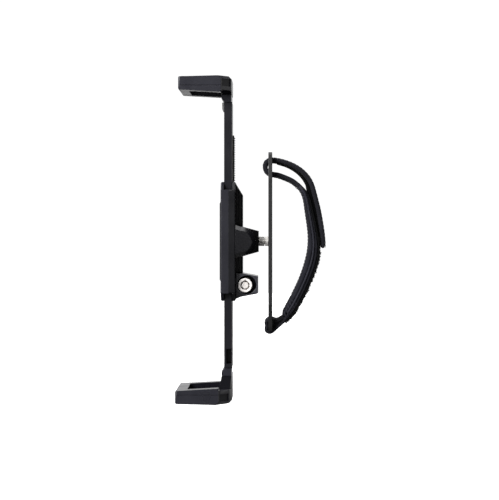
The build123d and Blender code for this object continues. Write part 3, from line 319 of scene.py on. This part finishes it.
def tubular_face(name, bright, dark):
    """Plug of a tubular lock: a bright post, and seven bright pin ends in a dark ring round it."""
    material, tree, bsdf = new_material(name)
    east, _, up = object_place(tree)
    radius = distance_from(tree, east, up, LOCK_AXIS.x, LOCK_AXIS.z)
    angle = math_node(tree, "ARCTAN2", subtract(tree, up, LOCK_AXIS.z), subtract(tree, east, LOCK_AXIS.x))
    ring = map_range(tree, radius, POST_R - 0.05 * MM, POST_R + 0.05 * MM, 0.0, 1.0)
    wave = math_node(tree, "COSINE", multiply(tree, angle, PIN_COUNT))
    off_ring = math_node(tree, "ABSOLUTE", subtract(tree, radius, PIN_RING_R))
    pin_row = map_range(tree, off_ring, PIN_HALF_W, PIN_HALF_W + PIN_BLUR, 1.0, 0.0)
    pins = multiply(tree, map_range(tree, wave, 0.15, 0.4, 0.0, 1.0), pin_row)
    shade = multiply(tree, ring, subtract(tree, 1.0, pins))
    grime = object_noise(tree, 900, 3.0)
    soiled = multiply(tree, shade, map_range(tree, grime, 0.3, 0.7, 0.85, 1.0))
    link(tree, mix_colour(tree, soiled, bright, dark), bsdf.inputs["Base Color"])
    bsdf.inputs["Metallic"].default_value = 0.1
    link(tree, map_range(tree, grime, 0.3, 0.7, 0.24, 0.4), bsdf.inputs["Roughness"])
    rounded = edge_mask(tree, METAL_EDGE_R)[1]
    link(tree, bump(tree, grime, 0.01 * MM, rounded), bsdf.inputs["Normal"])
    return material


def between(tree, source, low, high):
    """1 where the source lies between low and high, else 0."""
    above_low = math_node(tree, "GREATER_THAN", source, low)
    return multiply(tree, above_low, math_node(tree, "LESS_THAN", source, high))


def painted_shade_on_jaws(tree):
    """Share of painted shade on the jaws: inset side panels, necks and the lower tray, made darker and less
    glossy.
    """
    east, north, up = object_place(tree)
    aside = math_node(tree, "ABSOLUTE", north)
    regions = []
    for share, x_range, y_range, z_ranges in PAINTED_SHADE_REGIONS:
        for z_range in z_ranges:
            inside = multiply(tree, between(tree, east, *x_range), between(tree, aside, *y_range))
            inside = multiply(tree, inside, between(tree, up, *z_range))
            regions.append(multiply(tree, inside, share))
    dark = regions[0]
    for region in regions[1:]:
        dark = math_node(tree, "MAXIMUM", dark, region)
    return dark


def painted_shade_in_lock_recess(tree):
    """Share of painted shade inside the round recess beside the lock, made darker and less glossy."""
    east, north, up = object_place(tree)
    radius = distance_from(tree, east, up, LOCK_AXIS.x + RECESS_SHIFT_X, LOCK_AXIS.z + RECESS_SHIFT_Z)
    near = math_node(tree, "LESS_THAN", radius, RECESS_R)
    deep = math_node(tree, "GREATER_THAN", north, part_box("lock_block")[0].y + RECESS_LIP)
    return multiply(tree, multiply(tree, near, deep), 0.9)


# ---------------------------------------------------------------- textile materials
def uv_phases(tree, along_mm, across_mm):
    """Two wave phases over the strap's own UV, which is in metres along (u) and across (v)."""
    uv = add_node(tree, "ShaderNodeUVMap", uv_map="strap")
    split = tree.nodes.new("ShaderNodeSeparateXYZ")
    link(tree, uv.outputs[0], split.inputs[0])
    phase_u = multiply(tree, split.outputs[0], 2 * math.pi / (along_mm * MM))
    phase_v = multiply(tree, split.outputs[1], 2 * math.pi / (across_mm * MM))
    return phase_u, phase_v


def woven(name, colour, along_mm, across_mm, depth_mm, twill=0.5, roughness=0.75):
    """Woven nylon: warp ribs crossed by weft, with the ribs shifted from row to row like a twill."""
    material, tree, bsdf = new_material(name)
    phase_u, phase_v = uv_phases(tree, along_mm, across_mm)
    warp = math_node(tree, "SINE", add(tree, phase_u, multiply(tree, phase_v, twill)))
    weft = math_node(tree, "COSINE", phase_v)
    weave = multiply(tree, add(tree, warp, 1.2), add(tree, weft, 1.3))
    fibre = object_noise(tree, 5200, 2.0)
    drift = object_noise(tree, 70, 3.0)
    height = add(tree, multiply(tree, weave, 0.25), multiply(tree, fibre, 0.4))
    raised = map_range(tree, height, 0.1, 1.3, 0.0, 1.0)
    shade = mix_colour(tree, raised, scaled(colour, 0.35), scaled(colour, 1.25))
    fading = map_range(tree, drift, 0.5, 0.75, 0.0, 0.5)
    faded = scaled(colour, 1.5, lift=0.004)
    link(tree, mix_colour(tree, fading, shade, faded), bsdf.inputs["Base Color"])
    bsdf.inputs["Roughness"].default_value = roughness
    bsdf.inputs["Specular IOR Level"].default_value = 0.12
    bsdf.inputs["Sheen Weight"].default_value = 0.04
    bsdf.inputs["Sheen Roughness"].default_value = 0.4
    link(tree, bump(tree, height, depth_mm * MM), bsdf.inputs["Normal"])
    return material


def fuzzy(name, colour, tuft_mm):
    """Hook or loop pile: dark pits between brushed tufts."""
    material, tree, bsdf = new_material(name)
    coord = tree.nodes.new("ShaderNodeTexCoord")
    cells = add_node(tree, "ShaderNodeTexVoronoi", Scale=1 / (tuft_mm * MM))
    link(tree, coord.outputs["Object"], cells.inputs["Vector"])
    hair = object_noise(tree, 7000, 3.0)
    height = subtract(tree, multiply(tree, hair, 0.6), cells.outputs["Distance"])
    raised = map_range(tree, height, -0.7, 0.4, 0.0, 1.0)
    shade = mix_colour(tree, raised, scaled(colour, 0.3), scaled(colour, 1.6))
    link(tree, shade, bsdf.inputs["Base Color"])
    bsdf.inputs["Roughness"].default_value = 0.9
    bsdf.inputs["Specular IOR Level"].default_value = 0.06
    bsdf.inputs["Sheen Weight"].default_value = 0.02
    link(tree, bump(tree, height, 0.25 * MM), bsdf.inputs["Normal"])
    return material


# ---------------------------------------------------------------- finishes of the carried-over CAD nodes
LOOKS = {
    "lock_face": tubular_face("tubular_lock_face", (0.80, 0.765, 0.735), (0.05, 0.035, 0.028)),
    "jaw": moulded("jaw_plastic", (0.0149, 0.0149, 0.0212), 0.30, specular=0.34, painted_shade_mask=painted_shade_on_jaws),
    # arms: darker than the jaws' plastic, as painted shade for their place further back from the lights
    "arm": moulded("arm_plastic", (0.0074, 0.0074, 0.0102), 0.34, grain_mm=0.3, specular=0.25),
    "front": moulded("front_shell_plastic", (0.0136, 0.0136, 0.0189), 0.32, specular=0.32),
    # rear shell and boss: a darker copy of the shells' plastic, as painted shade for the shade they sit in
    "rear": moulded("rear_shell_plastic", (0.0037, 0.0037, 0.0052), 0.32, specular=0.3, wear=0.15),
    "boss": moulded(
        "boss_plastic", (0.0037, 0.0037, 0.0052), 0.24, grain_depth=0.006, specular=0.45, wear=0.15
    ),
    "block": moulded(
        "lock_block_plastic", (0.0248, 0.0248, 0.0333), 0.30, specular=0.7, painted_shade_mask=painted_shade_in_lock_recess
    ),
    "rubber": moulded(
        "black_rubber", (0.0186, 0.0186, 0.0198), 0.55,
        grain_mm=0.5, grain_depth=0.02, specular=0.4, wear=0.1,
    ),
    "grey_rubber": moulded(
        "grey_foam_rubber", (0.20, 0.20, 0.20), 0.8,
        grain_mm=0.6, grain_depth=0.04, specular=0.3, wear=0.1,
    ),
    "acetal": moulded("natural_acetal", (0.72, 0.72, 0.68), 0.45, grain_mm=0.5, grain_depth=0.004, wear=0.0),
    "plate": moulded(
        "powder_coat", (0.0062, 0.0062, 0.0068), 0.45,
        grain_mm=0.25, grain_depth=0.02, specular=0.45, wear=0.3,
    ),
    "black_steel": metal("black_oxide_steel", (0.03, 0.03, 0.032), 0.4, oxide=0.3),
    "steel": metal("zinc_plated_steel", (0.98, 0.95, 0.91), 0.30, brush=(1, 6, 6), oxide=0.97),
    "nickel": metal(
        "satin_nickel", (0.98, 0.94, 0.91), 0.42, brush=(6, 1, 6), brush_depth=0.006, oxide=0.97
    ),
    "brass": metal("machined_brass", (0.70, 0.52, 0.26), 0.3, brush=(1, 5, 5)),
    "webbing": woven("nylon_webbing", (0.0124, 0.0124, 0.0166), 1.6, 1.3, 0.10),
    "pad": woven("pad_cover_knit", (0.0167, 0.0167, 0.0234), 0.7, 0.6, 0.04, twill=0.0, roughness=0.8),
    "backing": woven("backing_web", (0.0143, 0.0143, 0.0196), 1.2, 1.0, 0.08, roughness=0.8),
    "binding": woven("edge_binding", (0.0285, 0.0285, 0.0386), 0.8, 0.5, 0.05, twill=0.8, roughness=0.7),
    "pile": fuzzy("loop_pile", (0.0037, 0.0037, 0.004), 0.7),
    "hooks": fuzzy("hook_tape", (0.0015, 0.0015, 0.0017), 0.9),
    "thread": woven("sewing_thread", (0.0372, 0.0372, 0.0492), 0.5, 0.4, 0.03, twill=1.0, roughness=0.6),
}

NODE_LOOKS = {
    "jaw": ("upper_jaw", "lower_jaw"),
    "arm": ("upper_arm", "lower_arm"),
    "front": ("front_shell",),
    "rear": ("rear_shell",),
    "boss": ("mount_boss",),
    "block": ("lock_block",),
    "rubber": ("front_pad", "upper_tip_cap", "lower_tip_cap"),
    "grey_rubber": ("rest_pad",),
    "acetal": ("sync_pinion",),
    "plate": ("strap_plate",),
    "black_steel": (
        "housing_screws", "lock_grub_screw", "ratchet_rack", "rack_rivets",
        "upper_jaw_screws", "lower_jaw_screws",
    ),
    "steel": (
        "boss_screws", "lock_block_screws", "lock_cam", "cam_screw", "pawl", "pawl_pin", "pawl_spring",
        "pinion_pin", "stud_screw", "lock_nut", "jam_nut",
    ),
    "nickel": ("lock_barrel",),
    "lock_face": ("lock_plug",),
    "brass": ("boss_insert",),
}
for look, names in NODE_LOOKS.items():
    for name in names:
        NODES[name].data.materials.clear()
        NODES[name].data.materials.append(LOOKS[look])

# width of the small rounds on moulded edges and nuts, in millimetres
EDGE_ROUNDS = {
    0.45: ("upper_jaw", "lower_jaw"),
    0.3: ("upper_arm", "lower_arm", "front_shell", "lock_block", "rest_pad", "front_pad"),
    0.2: ("rear_shell", "mount_boss", "upper_tip_cap", "lower_tip_cap"),
    0.1: ("lock_nut", "jam_nut"),
}
SHARP_ANGLE = math.radians(24)
for width, names in EDGE_ROUNDS.items():
    for name in names:
        weld = NODES[name].modifiers.new("weld", "WELD")
        weld.merge_threshold = 0.002 * MM
        bevel = NODES[name].modifiers.new("edges", "BEVEL")
        bevel.width = width * MM
        bevel.segments = 2
        bevel.limit_method = "ANGLE"
        bevel.angle_limit = SHARP_ANGLE
        bevel.harden_normals = True


# ---------------------------------------------------------------- strap lines taken from the CAD solids
def distances(points):
    """Distance along an open line at each of its points."""
    steps = np.linalg.norm(np.diff(points, axis=0), axis=1)
    return np.concatenate(([0], np.cumsum(steps)))


def run_length(points):
    return distances(points)[-1]


def resample(points, count):
    """count points evenly spaced along an open line."""
    reach = distances(points)
    wanted = np.linspace(0, reach[-1], count)
    return np.stack([np.interp(wanted, reach, points[:, axis]) for axis in (0, 1)], axis=1)


def sideways(points):
    """Unit vectors square to a line, to the left of its direction in X-Z."""
    run = np.gradient(points, axis=0)
    run /= np.linalg.norm(run, axis=1)[:, None]
    return np.stack([-run[:, 1], run[:, 0]], axis=1)


def ease_in(count, over):
    """A column of count values that rises smoothly from 0 to 1 over its first points."""
    rise = np.clip(np.arange(count) / over, 0, 1)
    return (rise * rise * (3 - 2 * rise))[:, None]


def side_outline(node):
    """The outer boundary of an extruded CAD solid seen from its near side, as (x, z) points in order."""
    mesh = bmesh.new()
    mesh.from_mesh(NODES[node].data)
    bmesh.ops.remove_doubles(mesh, verts=mesh.verts, dist=0.001 * MM)
    near = min(vert.co.y for vert in mesh.verts) + 0.01 * MM
    caps = {face for face in mesh.faces if all(vert.co.y < near for vert in face.verts)}
    neighbours = {}
    for edge in mesh.edges:
        if sum(face in caps for face in edge.link_faces) == 1:
            for one, other in (edge.verts, reversed(edge.verts)):
                neighbours.setdefault(one.index, []).append(other.index)
    mesh.verts.ensure_lookup_table()
    loops = []
    left = set(neighbours)
    while left:
        start = min(left)
        loop = [start]
        previous, current = start, neighbours[start][0]
        while current != start:
            loop.append(current)
            following = next(index for index in neighbours[current] if index != previous)
            previous, current = current, following
        left -= set(loop)
        loops.append(np.array([(mesh.verts[index].co.x, mesh.verts[index].co.z) for index in loop]))
    mesh.free()
    return max(loops, key=lambda points: np.ptp(points, axis=0).sum())


def corner_runs(loop, count):
    """The stretches of a closed outline between its sharpest corners."""
    ahead = np.roll(loop, -1, axis=0) - loop
    behind = loop - np.roll(loop, 1, axis=0)
    cross = ahead[:, 0] * behind[:, 1] - ahead[:, 1] * behind[:, 0]
    turn = np.abs(np.arctan2(cross, (ahead * behind).sum(axis=1)))
    corners = sorted(np.argsort(turn)[-count:])
    return [
        loop[np.arange(here, after + 1) % len(loop)]
        for here, after in zip(corners, corners[1:] + [corners[0] + len(loop)])
    ]


def band(node, count):
    """(inner, outer) sides of a strap-like CAD solid, each with count points that start at its top.

    The outer side is the longer one.
    """
    runs = corner_runs(side_outline(node), 4)
    lengths = [run_length(run) for run in runs]
    one, other = (0, 2) if lengths[0] + lengths[2] > lengths[1] + lengths[3] else (1, 3)
    outer = resample(runs[one], count)
    inner = resample(runs[other][::-1], count)
    if lengths[one] < lengths[other]:
        outer, inner = inner, outer
    if outer[0, 1] < outer[-1, 1]:
        outer, inner = outer[::-1], inner[::-1]
    return inner, outer


# ---------------------------------------------------------------- strap pieces
def new_piece(name, mesh, look, slot_name):
    """Turns a bmesh into a piece that rides on the strap."""
    data = bpy.data.meshes.new(name)
    mesh.to_mesh(data)
    mesh.free()
    piece = bpy.data.objects.new(name, data)
    bpy.context.scene.collection.objects.link(piece)
    data.materials.append(LOOKS[look])
    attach(piece, "strap")
    return piece


def section(count, flatness):
    """Points of a rounded strap section: across in -1..1 and through in -1..1, as a superellipse."""
    angles = np.linspace(0, 2 * math.pi, count, endpoint=False)
    across = np.sign(np.cos(angles)) * np.abs(np.cos(angles)) ** (2 / (flatness * 4))
    through = np.sign(np.sin(angles)) * np.abs(np.sin(angles)) ** (2 / flatness)
    return np.stack([across, through], axis=1)


WEB_SECTION = section(56, 3.4)
PAD_SECTION = section(64, 2.7)
SECTION_HALF_T = 2 * MM      # thickness that the UVs across a strap reckon with
END_SHARE = 0.35             # thickness left at a strap's closed end
END_POINTS = 3
EDGE_WANDER = 0.008          # share of a strap's width that its edges drift by


def wander(along_mm):
    """Slow drift of a sewn edge, about -1..1."""
    return math.sin(along_mm / 3.1) * 0.6 + math.sin(along_mm / 1.37 + 1.0) * 0.4


def sweep(name, inner, outer, half_width, look, slot_name, shape, pucker=0.015, last_end=END_SHARE):
    """A closed strap mesh between two side lines, with UVs in metres.

    pucker draws its edges in and out; last_end is the share of thickness left at its far end.
    """
    middle = (inner + outer) / 2
    half = (outer - inner) / 2
    count = len(middle)
    reach = distances(middle)
    girth = distances(np.vstack((shape, shape[:1])) * (half_width, SECTION_HALF_T))
    mesh = bmesh.new()
    uv_layer = mesh.loops.layers.uv.new("strap")
    rings = []
    for index in range(count):
        drift = wander(reach[index] / MM)
        width = half_width * (1 - EDGE_WANDER * (1 + drift) / 2)
        to_end = min(index, count - 1 - index, END_POINTS)
        closing = END_SHARE if index < count / 2 else last_end
        thin = closing + (1 - closing) * math.sin(math.pi / 2 * to_end / END_POINTS)
        ring = []
        for across, through in shape:
            draw = 1 - pucker * (1 + drift) * abs(across) ** 3
            point = middle[index] + half[index] * through * thin * draw
            ring.append(mesh.verts.new((point[0], across * width, point[1])))
        rings.append(ring)
    size = len(shape)
    for index in range(count - 1):
        here, there = rings[index], rings[index + 1]
        for side in range(size):
            after = (side + 1) % size
            face = mesh.faces.new((here[side], here[after], there[after], there[side]))
            face.smooth = True
            corners = (
                (reach[index], girth[side]),
                (reach[index], girth[side + 1]),
                (reach[index + 1], girth[side + 1]),
                (reach[index + 1], girth[side]),
            )
            for corner, value in zip(face.loops, corners):
                corner[uv_layer].uv = value
    for ring in (rings[0], list(reversed(rings[-1]))):
        mesh.faces.new(ring)
    bmesh.ops.recalc_face_normals(mesh, faces=mesh.faces)
    return new_piece(name, mesh, look, slot_name)


# free run of the webbing, through the plate's top slot and back down as the tail
top_inner, top_outer = band("strap_webbing", STRAP_POINTS)
webbing = sweep("webbing_top_run", top_inner, top_outer, WEB_HALF_W, "webbing", "webbing", WEB_SECTION)
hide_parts("strap_webbing")

# short loop round the plate's bottom bar, and the fold that fills its two ends
anchor_outer = resample(max(corner_runs(side_outline("strap_anchor"), 2), key=run_length), ANCHOR_POINTS)
if anchor_outer[0, 1] < anchor_outer[-1, 1]:
    anchor_outer = anchor_outer[::-1]
anchor_inner = anchor_outer + sideways(anchor_outer) * ANCHOR_T
anchor = sweep(
    "webbing_anchor_loop", anchor_inner, anchor_outer, WEB_HALF_W, "webbing", "webbing", WEB_SECTION
)
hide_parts("strap_anchor")
fold_end = FOLD_SKIP + FOLD_POINTS
fold_low = resample(anchor_inner[-fold_end:-FOLD_SKIP][::-1], FOLD_POINTS)
fold_high = resample(anchor_inner[FOLD_SKIP:fold_end], FOLD_POINTS)
sweep(
    "webbing_fold", fold_low * 0.9 + fold_high * 0.1, fold_high * 0.9 + fold_low * 0.1,
    WEB_HALF_W - FOLD_INSET, "webbing", "webbing", WEB_SECTION,
)

# padded run: the padding swells gradually from the webbing's thickness
pad_inner, pad_outer = band("strap_pad", STRAP_POINTS)
swell = SWELL_START + (1 - SWELL_START) * ease_in(len(pad_outer), SWELL_POINTS)
pad_through = (pad_outer - pad_inner) * swell
pad_outer = pad_inner + pad_through
foam = sweep(
    "pad_foam_sleeve", pad_inner, pad_inner + pad_through * FOAM_SHARE,
    PAD_HALF_W, "pad", "pad_fabric", PAD_SECTION, pucker=0.05,
)
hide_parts("strap_pad")
sweep(
    "pad_backing_web", pad_inner + pad_through * (FOAM_SHARE - SLEEVE_OVERLAP), pad_outer,
    PAD_HALF_W - BACKING_INSET, "backing", "webbing", PAD_SECTION, pucker=0.03, last_end=0.8,
)

# loop tape over the whole padded run, feathered out where it starts
tape_out = sideways(pad_outer)
tape_out *= np.sign(tape_out[:, 0].sum())
feather = ease_in(len(pad_outer), LOOP_FEATHER)
tape_base = pad_outer - tape_out * (LOOP_EDGE + LOOP_SINK * feather)
tape_face = pad_outer + tape_out * (LOOP_EDGE + (LOOP_T - LOOP_EDGE) * feather)
loop_tape = sweep(
    "loop_tape", tape_base, tape_face,
    PAD_HALF_W - LOOP_INSET, "pile", "hook_and_loop", WEB_SECTION, last_end=0.8,
)
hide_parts("loop_patch")

# hook tape on the tail's underside: thin by the plate, then deep enough to grip the loops
under = top_inner[int(np.argmin(top_inner[:, 0])):-2]
under = resample(under[under[:, 0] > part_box("strap_plate")[1].x + HOOK_GAP], HOOK_POINTS)
inward = sideways(under)
inward *= -np.sign(inward[:, 0].sum())
to_loops = np.linalg.norm(under[:, None, :] - tape_face[None, :, :], axis=2).min(axis=1)
growth = HOOK_START + (HOOK_FULL - HOOK_START) * ease_in(len(under), HOOK_FEATHER)[:, 0]
depth = np.minimum(growth, to_loops + HOOK_SINK)
depth = np.where(to_loops < HOOK_FULL + HOOK_REACH, to_loops + HOOK_SINK, depth)
depth = np.convolve(np.pad(depth, 4, mode="edge"), np.ones(9) / 9, mode="valid")
hook_tape = sweep(
    "hook_tape", under + inward * depth[:, None], under - inward * HOOK_BURIED,
    WEB_HALF_W - HOOK_INSET, "hooks", "hook_and_loop", WEB_SECTION,
)
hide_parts("hook_patch")


# ---------------------------------------------------------------- piping, stitches and loose loops
def add_tube(mesh, points, radius, sides=6, closed=False, taper=1.0):
    """Adds a round tube along 3-D points to a bmesh; taper is its last ring's share of the radius."""
    points = np.asarray(points, dtype=float)
    if closed:
        run = np.roll(points, -1, axis=0) - np.roll(points, 1, axis=0)
    else:
        run = np.gradient(points, axis=0)
    run /= np.linalg.norm(run, axis=1)[:, None]
    off_every_axis = np.array((0.31, 0.83, 0.46))
    first = np.cross(run, off_every_axis)
    first /= np.linalg.norm(first, axis=1)[:, None]
    second = np.cross(run, first)
    rings = []
    last = len(points) - 1
    for index, point in enumerate(points):
        size = radius * (taper if index == last else 1.0)
        ring = []
        for side in range(sides):
            angle = 2 * math.pi * side / sides
            offset = (first[index] * math.cos(angle) + second[index] * math.sin(angle)) * size
            ring.append(mesh.verts.new(point + offset))
        rings.append(ring)
    pairs = list(zip(rings, rings[1:]))
    if closed:
        pairs.append((rings[-1], rings[0]))
    else:
        mesh.faces.new(rings[0])
        mesh.faces.new(list(reversed(rings[-1])))
    for here, there in pairs:
        for side in range(sides):
            after = (side + 1) % sides
            mesh.faces.new((here[side], there[side], there[after], here[after])).smooth = True


def finish_tubes(name, mesh, look, slot_name):
    """Gives tubes outward normals and plain UVs, and makes them a piece."""
    bmesh.ops.recalc_face_normals(mesh, faces=mesh.faces)
    layer = mesh.loops.layers.uv.new("strap")
    for face in mesh.faces:
        for corner in face.loops:
            corner[layer].uv = (corner.vert.co.z, corner.vert.co.y + corner.vert.co.x)
    return new_piece(name, mesh, look, slot_name)


def facing(line, other):
    """+1 when the line's left side points away from the other line."""
    middle = len(line) // 2
    away = line[middle] - other[middle]
    return 1.0 if (sideways(line)[middle] * away).sum() > 0 else -1.0


def stitch_row(mesh, line, outward, y, pitch, lift):
    """Lockstitches along a strap's face: each dips into the cloth at both ends.

    outward is +1 or -1, as facing() gives it.
    """
    pitch_points, stitch_points = 8, 7
    count = int(run_length(line) / pitch)
    dense = resample(line, count * pitch_points)
    normal = sideways(dense) * outward
    for stitch in range(count):
        points = []
        for order in range(stitch_points):
            index = stitch * pitch_points + order
            rise = lift * math.sin(math.pi * order / (stitch_points - 1)) - THREAD_DIP
            x, z = dense[index] + normal[index] * rise
            points.append((x, y, z))
        add_tube(mesh, points, THREAD_R, 5)


def edge_piping():
    """Bound edge of the pad, along the seam between its cover and its backing."""
    seam = pad_inner + pad_through * (FOAM_SHARE + 0.01)
    for side, side_name in ((-1, "near"), (1, "far")):
        mesh = bmesh.new()
        y = side * (PAD_HALF_W - PIPING_INSET)
        add_tube(mesh, [(x, y, z) for x, z in seam[4:-8]], PIPING_R, 8)
        finish_tubes(f"pad_piping_{side_name}", mesh, "binding", "pad_fabric")


def stitching():
    """Two rows of thread on the webbing and two on the pad."""
    rows = (
        ("thread_webbing", "webbing", top_outer, facing(top_outer, top_inner), WEB_HALF_W, WEB_STITCHES),
        ("thread_pad", "pad_fabric", pad_inner[3:-3], facing(pad_inner, pad_outer), PAD_HALF_W, PAD_STITCHES),
    )
    for name, slot_name, line, outward, half_width, (inset, pitch, lift) in rows:
        mesh = bmesh.new()
        for y in (-half_width + inset, half_width - inset):
            stitch_row(mesh, line, outward, y, pitch, lift)
        finish_tubes(name, mesh, "thread", slot_name)


def bar_tack():
    """Thread wound over the edge where the pad and the webbing end are sewn together."""
    mesh = bmesh.new()
    last = len(pad_outer) - 1
    for wind in range(TACK_WINDS):
        index = last - 3 - 2 * wind
        slant = 3 if wind % 2 else -2
        inner_end = pad_inner[index]
        outer_end = pad_outer[min(index + slant, last)]
        middle = (inner_end + outer_end) / 2
        half = (outer_end - inner_end) / 2 * (1.04 + 0.02 * math.sin(wind * 2.3))
        ring = []
        for across, through in PAD_SECTION[::2]:
            x, z = middle + half * through
            ring.append((x, across * (PAD_HALF_W + TACK_PROUD), z))
        add_tube(mesh, ring, TACK_R, 5, closed=True)
    finish_tubes("thread_bar_tack", mesh, "thread", "webbing")


def loose_loops():
    """Loops pulled out of the worn part of the loop tape, below the free tail."""
    loose = random.Random(11)
    mesh = bmesh.new()
    below_tail = np.flatnonzero(tape_face[:, 1] < WORN_BELOW_Z)
    raggedness = [loose.choice((0.6, 0.85, 1.0, 1.4)) for _ in tape_face]
    arc_steps = 4
    for _ in range(LOOSE_LOOPS):
        index = int(below_tail[loose.randrange(len(below_tail) - 1)])
        spot = tape_face[index] + (tape_face[index + 1] - tape_face[index]) * loose.random()
        on_rim = loose.random() < LOOP_RIM_SHARE
        y = loose.uniform(-1, 1) * LOOP_HALF_W
        if on_rim:
            y = math.copysign(PAD_HALF_W - abs(loose.gauss(0, 0.4 * MM)), y)
        out = np.array((tape_out[index][0], 0, tape_out[index][1]))
        lean = np.array([loose.gauss(0, 0.5) for _ in range(3)])
        reach = min(loose.uniform(0.35, 1.15) * MM * raggedness[index], LONGEST_LOOP)
        base = np.array((spot[0], y, spot[1])) - out * 0.25 * MM
        arc = []
        for step in range(arc_steps + 1):
            share = step / arc_steps
            rise = out * reach * math.sin(math.pi * 0.8 * share)
            arc.append(base + rise + lean * reach * 0.8 * share ** 1.5)
        add_tube(mesh, arc, loose.uniform(0.09, 0.17) * MM, 3, taper=0.5)
    finish_tubes("loop_tape_loose_loops", mesh, "pile", "hook_and_loop")


edge_piping()
stitching()
bar_tack()
loose_loops()


# ---------------------------------------------------------------- stage, light and camera
FLOOR_DROP = 0.35
FLOOR_REACH = 12.0
# name, place, size and power of each soft light
LIGHTS = (
    ("key", (-0.9, -1.2, 0.6), 0.9, 42.0),
    ("rim", (-1.2, 0.6, 0.6), 0.8, 3.0),
)
CAMERA_DISTANCE = 1.553      # from the jaws' near side
VIEW_WIDTH = 0.41916         # what the frame spans there
EYE_X, EYE_Z = 0.04705, 0.01405
VIEW_MIDDLE_X, VIEW_MIDDLE_Z = 0.02563, -0.00695


def surround(scene):
    """White seen directly; as a reflection, a softbox on the left, a bright ceiling and a backdrop."""
    world = bpy.data.worlds.new("studio")
    scene.world = world
    world.use_nodes = True
    tree = world.node_tree
    background = tree.nodes["Background"]
    coord = tree.nodes.new("ShaderNodeTexCoord")
    split = tree.nodes.new("ShaderNodeSeparateXYZ")
    link(tree, coord.outputs["Generated"], split.inputs[0])
    east, north, up = split.outputs
    softbox = map_range(tree, east, -0.15, -0.8, 0.0, 0.5)
    ceiling = map_range(tree, up, 0.8, 0.97, 0.0, 3.4)
    front = add(tree, add(tree, softbox, ceiling), 0.012)
    low_down = map_range(tree, math_node(tree, "ABSOLUTE", up), 0.35, 0.6, 1.0, 0.0)
    backdrop = multiply(tree, map_range(tree, north, 0.15, 0.5, 0.0, 1.0), low_down)
    light = add(tree, multiply(tree, front, subtract(tree, 1.0, backdrop)), backdrop)
    path = tree.nodes.new("ShaderNodeLightPath")
    seen = math_node(tree, "MAXIMUM", light, path.outputs["Is Camera Ray"])
    link(tree, multiply(tree, seen, 1.05), background.inputs["Strength"])
    background.inputs["Color"].default_value = (1, 1, 1, 1)


def pale_floor(scene):
    """A floor well below the object: pale to the eye, but it sends little light back up near it."""
    mesh = bpy.data.meshes.new("floor")
    z = CAD_BOX[0][2] - FLOOR_DROP
    corners = [(x * FLOOR_REACH, y * FLOOR_REACH, z) for x, y in ((-1, -1), (1, -1), (1, 1), (-1, 1))]
    mesh.from_pydata(corners, [], [(0, 1, 2, 3)])
    floor = bpy.data.objects.new("floor", mesh)
    scene.collection.objects.link(floor)
    material, tree, bsdf = new_material("pale_floor")
    paint = mix_colour(tree, object_noise(tree, 3, 2.0), (0.93, 0.93, 0.93), (0.96, 0.96, 0.96))
    path = tree.nodes.new("ShaderNodeLightPath")
    direct = path.outputs["Is Camera Ray"]
    link(tree, mix_colour(tree, direct, (0.12, 0.12, 0.12), paint), bsdf.inputs["Base Color"])
    bsdf.inputs["Roughness"].default_value = 0.9
    bsdf.inputs["Emission Color"].default_value = (1, 1, 1, 1)
    coord = tree.nodes.new("ShaderNodeTexCoord")
    away = tree.nodes.new("ShaderNodeVectorMath")
    away.operation = "LENGTH"
    link(tree, coord.outputs["Object"], away.inputs[0])
    far_glow = map_range(tree, away.outputs["Value"], 3.0, 5.0, 0.0, 1.0)
    link(tree, math_node(tree, "MAXIMUM", far_glow, direct), bsdf.inputs["Emission Strength"])
    mesh.materials.append(material)


def soft_lights(scene):
    """Broad area lights, turned to the part's origin."""
    for name, place, size, power in LIGHTS:
        light = bpy.data.lights.new(name, "AREA")
        light.size = size
        light.energy = power
        lamp = bpy.data.objects.new(name, light)
        scene.collection.objects.link(lamp)
        lamp.location = place
        lamp.rotation_euler = (-Vector(place)).to_track_quat("-Z", "Y").to_euler()


def side_camera(scene):
    """The camera looks straight along +Y; its lens is shifted so that the frame's middle is off its axis."""
    camera = bpy.data.cameras.new("side_view")
    camera.sensor_fit = "HORIZONTAL"
    camera.sensor_width = 36.0
    camera.lens = camera.sensor_width * CAMERA_DISTANCE / VIEW_WIDTH
    camera.shift_x = (VIEW_MIDDLE_X - EYE_X) / VIEW_WIDTH
    camera.shift_y = (VIEW_MIDDLE_Z - EYE_Z) / VIEW_WIDTH
    camera.clip_end = 40
    seat = bpy.data.objects.new("side_view", camera)
    scene.collection.objects.link(seat)
    seat.location = (EYE_X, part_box("upper_jaw")[0].y - CAMERA_DISTANCE, EYE_Z)
    seat.rotation_euler = (math.pi / 2, 0, 0)
    scene.camera = seat


scene = bpy.context.scene
scene.view_settings.view_transform = "Standard"
surround(scene)
pale_floor(scene)
soft_lights(scene)
side_camera(scene)
